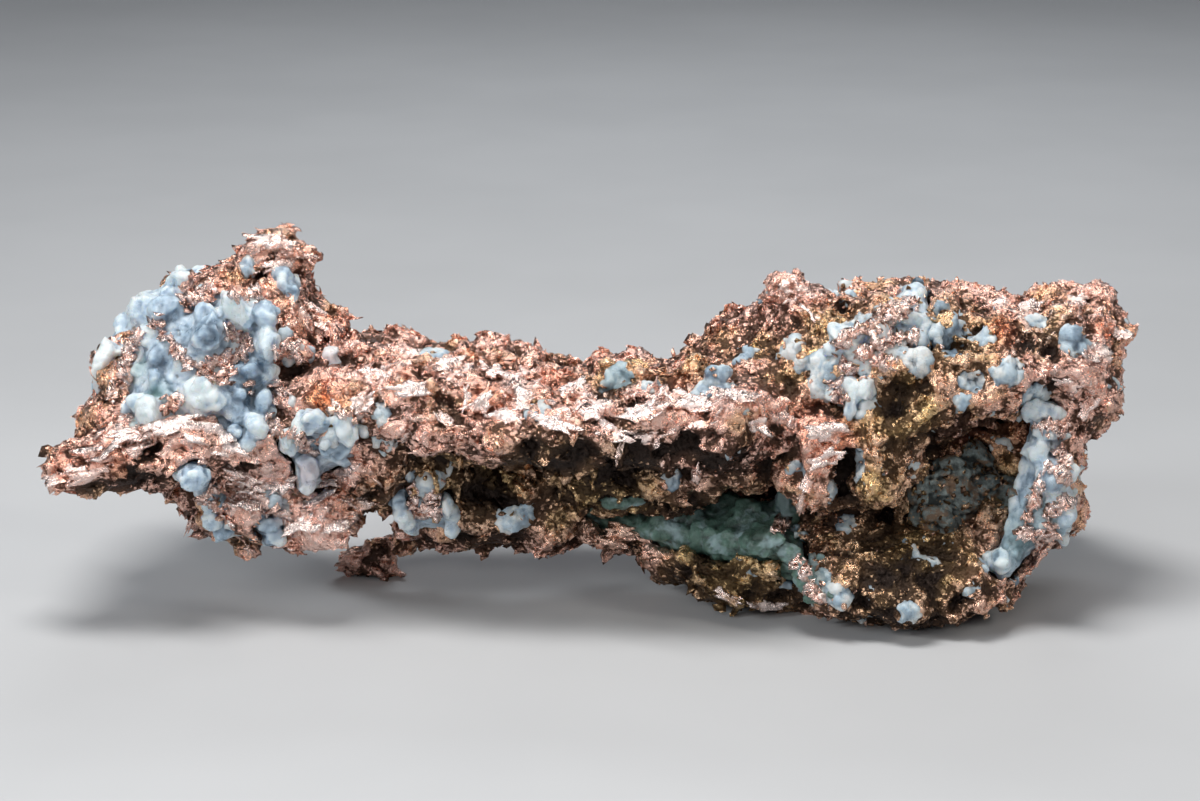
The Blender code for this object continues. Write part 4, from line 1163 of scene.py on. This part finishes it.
def cluster(node, name, kind, seed):
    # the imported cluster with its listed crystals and, on quartz, small strewn ones
    rng = np.random.default_rng(seed)
    skin = nodeSkins[node]
    stones = [crystalAt(row, rng, crystalForm, crystals["sunk"]) for row in grownBy.get(node, [])]
    if kind == "quartz" and node not in crystals["bare"]:
        stones = stones + strewnCrystals(skin, rng, grainForm, int(areaOf(*skin) * crystals["strewn"]))
    return fused(name, [skin], stones, kind)


# finishes

def copperFinish():
    # stained and clean facets side by side; how many are clean goes by the painted highlight and painted shade
    # zones, the crests, the undersides and how deep the place is
    look = Finish("copper_skin")
    nick, hollow, under = look.read("nick"), look.read("hollow"), look.read("under")
    gold, rust, soot, bright = (look.read(name) for name in ("gold", "rust", "soot", "bright"))
    patch = look.noise(5.0, 4.0, 0.6)
    speck = look.noise(0.8, 3.0, 0.65)
    gloom = look.between(look.noise(4.5, 5.0, 0.65, warp=0.5), 0.48, 0.64, 0, 0.4)
    gloom = gloom + look.between(look.noise(1.7, 4.0, 0.6), 0.53, 0.66, 0, 0.22)
    facet = look.add("SeparateColor", None, {0: look.cells(0.3, output=1)})
    goldShare = look.clamped(gold + look.between(patch, 0.48, 0.68, 0, 0.5) - bright * 0.4)
    # painted crease shade: thin dark lines along the edges of stretched cells, with fewer clean facets there
    creaseShade = look.between(look.cells(1.5, "DISTANCE_TO_EDGE", stretch=(0.5, 1, 1), warp=0.8), 0.0, 0.07, 1, 0)
    colour = look.blend(look.between(patch, 0.35, 0.65), (0.96, 0.62, 0.52), (0.90, 0.51, 0.38))
    colour = look.blend(goldShare, colour, (0.76, 0.53, 0.27))
    colour = look.blend(look.clamped(rust * look.between(speck, 0.35, 0.6, 0.5, 1.0)), colour, (0.80, 0.26, 0.11))
    # painted highlight: pale pink on the painted-light zones and on the crests
    colour = look.blend(look.between(bright * 0.8 + nick * 0.5, 0.3, 1.2), colour, (1.0, 0.84, 0.785))
    # fewer clean facets under painted shade: the shade zones, the undersides, the painted crease lines and the
    # hollows; more on painted-light zones and crests
    clean = (bright * 0.45 + nick * 0.45 + hollow * 0.55 + speck * 0.8 - gold * 0.12
             - soot * 0.5 - under * 0.35 - creaseShade * 0.35 - gloom * (1 - bright * 0.7) + 0.04)
    clean = clean + look.between(facet, 0.14, 0.0, 0, 0.35)
    share = look.between(clean - facet * 0.55 + 0.1, 0.0, 0.36)
    stain = look.blend(goldShare, (0.12, 0.062, 0.042), (0.12, 0.073, 0.03))
    stain = look.blend(rust, stain, (0.26, 0.062, 0.03))
    # painted shade: the stain turns near black in the shade zones, on undersides and in hollows
    stain = look.blend(look.clamped(soot * 0.8 + under * 0.4 - hollow), stain, (0.028, 0.018, 0.014))
    colour = look.blend(share, stain, colour)
    rough = look.between(speck, 0.3, 0.7, 0.14, 0.34) + (1 - share) * 0.18
    normal = look.glints(0.24, 0.5)
    normal = look.bump(look.noise(0.5, 5.0, 0.7, warp=0.4), 0.2, normal)
    look.set(Base_Color=colour, Roughness=rough, Metallic=look.between(share, 0, 0.5, 0.75, 1.0), Normal=normal)
    return look.material


def quartzFinish():
    # milky where a crystal is pale or veiled, and where it stands out, as frost and painted rim light; grey blue
    # and clearer within; painted shade in the hollows
    look = Finish("frosted_quartz", IOR=1.54, Transmission_Weight=0.15, Subsurface_Weight=0.7,
                  Subsurface_Scale=0.0012, Coat_Weight=0.2, Coat_Roughness=0.25)
    look.shader.inputs["Subsurface Radius"].default_value = (0.8, 1.0, 1.2)
    tone, edge = look.read("tone"), look.read("edge")
    veil = look.noise(1.8, 4.0, 0.6, warp=0.6)
    milk = look.clamped(look.between(veil, 0.3, 0.7) * 0.3 + tone * 0.7 + edge * 0.2)
    colour = look.blend(look.between(milk, 0.0, 0.5), (0.13, 0.195, 0.27), (0.43, 0.56, 0.68))
    colour = look.blend(look.between(milk, 0.35, 0.95), colour, (0.82, 0.93, 1.0))
    colour = look.blend(look.read("green") * 0.75, colour, (0.20, 0.36, 0.33))
    colour = look.blend(look.read("rosy") * 0.75, colour, (0.80, 0.68, 0.68))
    # painted shade: dark grey in the hollows between crystals
    colour = look.blend(look.between(edge, -0.5, -1.0, 0, 0.6), colour, (0.12, 0.15, 0.17))
    rough = look.between(look.noise(1.0, 4.0), 0.3, 0.7, 0.22, 0.5)
    facets = look.glints(0.55, 0.3)
    look.set(Base_Color=colour, Roughness=rough, Normal=look.bump(look.noise(0.6, 5.0, 0.65), 0.16, facets))
    return look.material


def prehniteFinish():
    # waxy dark green with paler clouds, painted lighter where it stands out and with painted shade in the hollows
    look = Finish("waxy_prehnite", IOR=1.62, Subsurface_Weight=0.4, Subsurface_Scale=0.0014,
                  Coat_Weight=0.2, Coat_Roughness=0.25)
    look.shader.inputs["Subsurface Radius"].default_value = (0.7, 1.1, 0.9)
    tone, edge = look.read("tone"), look.read("edge")
    veil = look.noise(3.4, 5.0, 0.65, warp=0.8)
    milk = look.clamped(look.between(veil, 0.3, 0.7) * 0.7 + tone * 0.25 + edge * 0.15)
    colour = look.blend(milk, (0.016, 0.042, 0.03), (0.14, 0.26, 0.21))
    pale = look.between(look.noise(2.2) + tone * 0.2, 0.62, 0.8, 0, 0.8)
    colour = look.blend(pale, colour, (0.30, 0.42, 0.44))
    # painted shade: near black in the hollows
    colour = look.blend(look.between(edge, -0.4, -1.0, 0, 0.7), colour, (0.015, 0.03, 0.025))
    look.set(Base_Color=colour, Roughness=look.between(look.noise(0.9), 0.3, 0.7, 0.3, 0.6),
             Normal=look.bump(look.noise(0.7, 5.0, 0.7), 0.3, look.glints(0.6, 0.3)))
    return look.material


def rockFinish():
    # grey grains with brown and ochre spots, painted lighter where they stand out and with painted shade, near
    # black, in the hollows
    look = Finish("wall_rock_face")
    tone, edge = look.read("tone"), look.read("edge")
    grain = look.noise(0.9, 6.0, 0.75)
    light = look.clamped(look.between(grain, 0.38, 0.7) * 0.8 + tone * 0.1 + edge * 0.25)
    colour = look.blend(light, (0.05, 0.065, 0.065), (0.34, 0.41, 0.40))
    colour = look.blend(look.between(look.noise(2.0, 5.0, 0.7), 0.5, 0.6, 0, 0.8), colour, (0.22, 0.12, 0.06))
    colour = look.blend(look.between(look.noise(0.4, 2.0), 0.62, 0.72), colour, (0.62, 0.38, 0.18))
    # painted shade: near black in the hollows
    colour = look.blend(look.between(edge, 0.0, -0.9, 0, 0.85), colour, (0.01, 0.015, 0.015))
    look.set(Base_Color=colour, Roughness=look.between(grain, 0.3, 0.7, 0.5, 0.85),
             Normal=look.bump(grain, 0.4))
    return look.material


# building the pieces

def setPiece(made, material, node=None):
    # its material, the body it rides, and the solid that it stands in for
    made.data.materials.append(material)
    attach(made, "root")
    if node:
        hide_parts(node)
    made.data.calc_loop_triangles()
    print(f"{made.name}: {len(made.data.loop_triangles)} triangles")


# the crystals come first, because copper leaves lie on them

materials = {"quartz": quartzFinish(), "prehnite": prehniteFinish(), "wall_rock": rockFinish()}
kinds = {"green_prehnite": "prehnite", "vug_rock": "wall_rock"}
grown = {}
for seed, node in enumerate(sorted(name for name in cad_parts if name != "native_copper")):
    kind = kinds.get(node, "quartz")
    made = cluster(node, node + "_crystals", kind, seeds["clusters"] + seed)
    setPiece(made, materials[kind], node)
    grown[node] = readBack(made)
rng = np.random.default_rng(seeds["headGrains"])
stones = [stone for row in grownBy["head_grains"] for stone in patchOf(row, rng, grainForm)]
made = fused("head_grains", [], stones, "quartz")
setPiece(made, materials["quartz"])
grown["head_grains"] = readBack(made)

whole = clipped(madeCopper())
*skin, marks = markCopper(whole)
made = clipped(freed(crusted(whole, "quartz_crust")))
setPiece(made, materials["quartz"])
grown["quartz_crust"] = readBack(made)
copperMaterial = copperFinish()
for name, side in (("copper_head_and_neck", -1), ("copper_lobe", 1)):
    setPiece(freed(halfOf(whole, name, side)), copperMaterial, "native_copper")
bpy.data.objects.remove(whole)

rng = np.random.default_rng(seeds["leaves"])
sponge = spongeShare(skin[0])
bare = (1 - 0.85 * crystalNearness(skin[0])) * (1 - 0.8 * zoned(skin[0], copper["calm"]))
bare = bare * (1 - 0.85 * ramp(crustShare(skin[0]), -0.1, 0.2))
dressedTree = treeOf(joined([tuple(skin), *grown.values()]))
copperTree = treeOf(skin)
foilParts = [leaves(skin, marks, copper["foilLeaves"], bare * (1.02 - sponge), rng), traced(dressedTree, rng)]
foilParts = foilParts + [sheetAt(row, copperTree, rng) for row in sheets]
lobeStones = joined([grown[name] for name in ("ridge_quartz", "column_quartz", "slope_quartz", "quartz_crust")])
spongeParts = [leaves(skin, marks, copper["spongeLeaves"], bare * (0.15 + sponge), rng),
               specks(lobeStones, copper["quartzSpecks"], rng),
               specks(grown["vug_rock"], copper["rockSpecks"], rng)]
for name, parts in (("copper_foil_leaves", foilParts), ("copper_sponge_leaves", spongeParts)):
    setPiece(clipped(gathered(name, parts)), copperMaterial)


# floor, lights and camera

def stageAndLights():
    # the floor as stage, a dim sky, and each light turned to the aim
    floor = newObject("floor", *floorSheet())
    smoothed(floor)
    look = Finish("pale_floor", Roughness=0.85)
    tone = look.between(look.noise(60, 3.0), 0.3, 0.7)
    look.set(Base_Color=look.blend(tone, (0.50, 0.51, 0.52), (0.53, 0.54, 0.55)))
    floor.data.materials.append(look.material)
    world = bpy.data.worlds.new("studio")
    world.use_nodes = True
    world.node_tree.nodes["Background"].inputs["Color"].default_value = (0.75, 0.83, 1.0, 1)
    world.node_tree.nodes["Background"].inputs["Strength"].default_value = 0.1
    bpy.context.scene.world = world
    for name, place, size, power, tint in lights:
        lamp = bpy.data.lights.new(name, "AREA")
        lamp.shape = "RECTANGLE"
        lamp.size, lamp.size_y = size[0] * mm, size[1] * mm
        lamp.energy = power
        lamp.color = tint
        made = placed(name, lamp)
        made.location = Vector(place) * mm
        aim = Vector(sight["aim"]) * mm
        made.rotation_euler = (made.location - aim).to_track_quat("Z", "Y").to_euler()


lights = [
    ("top_box", (-40, -60, 330), (150, 100), 0.93, (1.0, 0.98, 0.96)),
    ("left_box", (-300, -200, 190), (80, 110), 0.5, (0.95, 0.98, 1.0)),
    ("front_box", (-60, -360, 190), (200, 90), 0.3, (1.0, 0.97, 0.95)),
    ("right_strip", (300, -160, 220), (40, 140), 0.28, (1.0, 0.95, 0.88)),
    ("back_box", (40, 300, 260), (220, 90), 0.35, (0.92, 0.96, 1.0)),
]


def floorSheet():
    # a flat floor that curves up behind: along its length it runs level, then rises as a quarter circle and wall
    across = np.linspace(-2400, 2400, 25)
    level = np.linspace(-2400, 500, 30)
    bend = np.linspace(0, math.pi / 2, 13)[1:]
    wall = np.linspace(0, 900, 7)[1:]
    y = np.concatenate([level, 500 + 400 * np.sin(bend), np.full(6, 900.0)])
    z = np.concatenate([0 * level, 400 - 400 * np.cos(bend), 400 + wall])
    points = np.stack([np.repeat(across[:, None], len(y), 1), np.tile(y, (25, 1)), np.tile(z, (25, 1))], -1)
    row, column = np.meshgrid(np.arange(24), np.arange(len(y) - 1), indexing="ij")
    first = row * len(y) + column
    faces = np.stack([first, first + len(y), first + len(y) + 1, first + 1], -1)
    return points.reshape(-1, 3), faces.reshape(-1, 4)


stageAndLights()
print("floor and lights set")
eye, _ = eyeAndPlane()
lens = bpy.data.cameras.new("camera")
lens.lens, lens.sensor_width = sight["lens"], sight["film"]
camera = placed("camera", lens)
camera.location = Vector(eye) * mm
camera.rotation_euler = (math.radians(90 - sight["tilt"]), 0, 0)
bpy.context.scene.camera = camera
bpy.context.scene.view_settings.view_transform = "Standard"
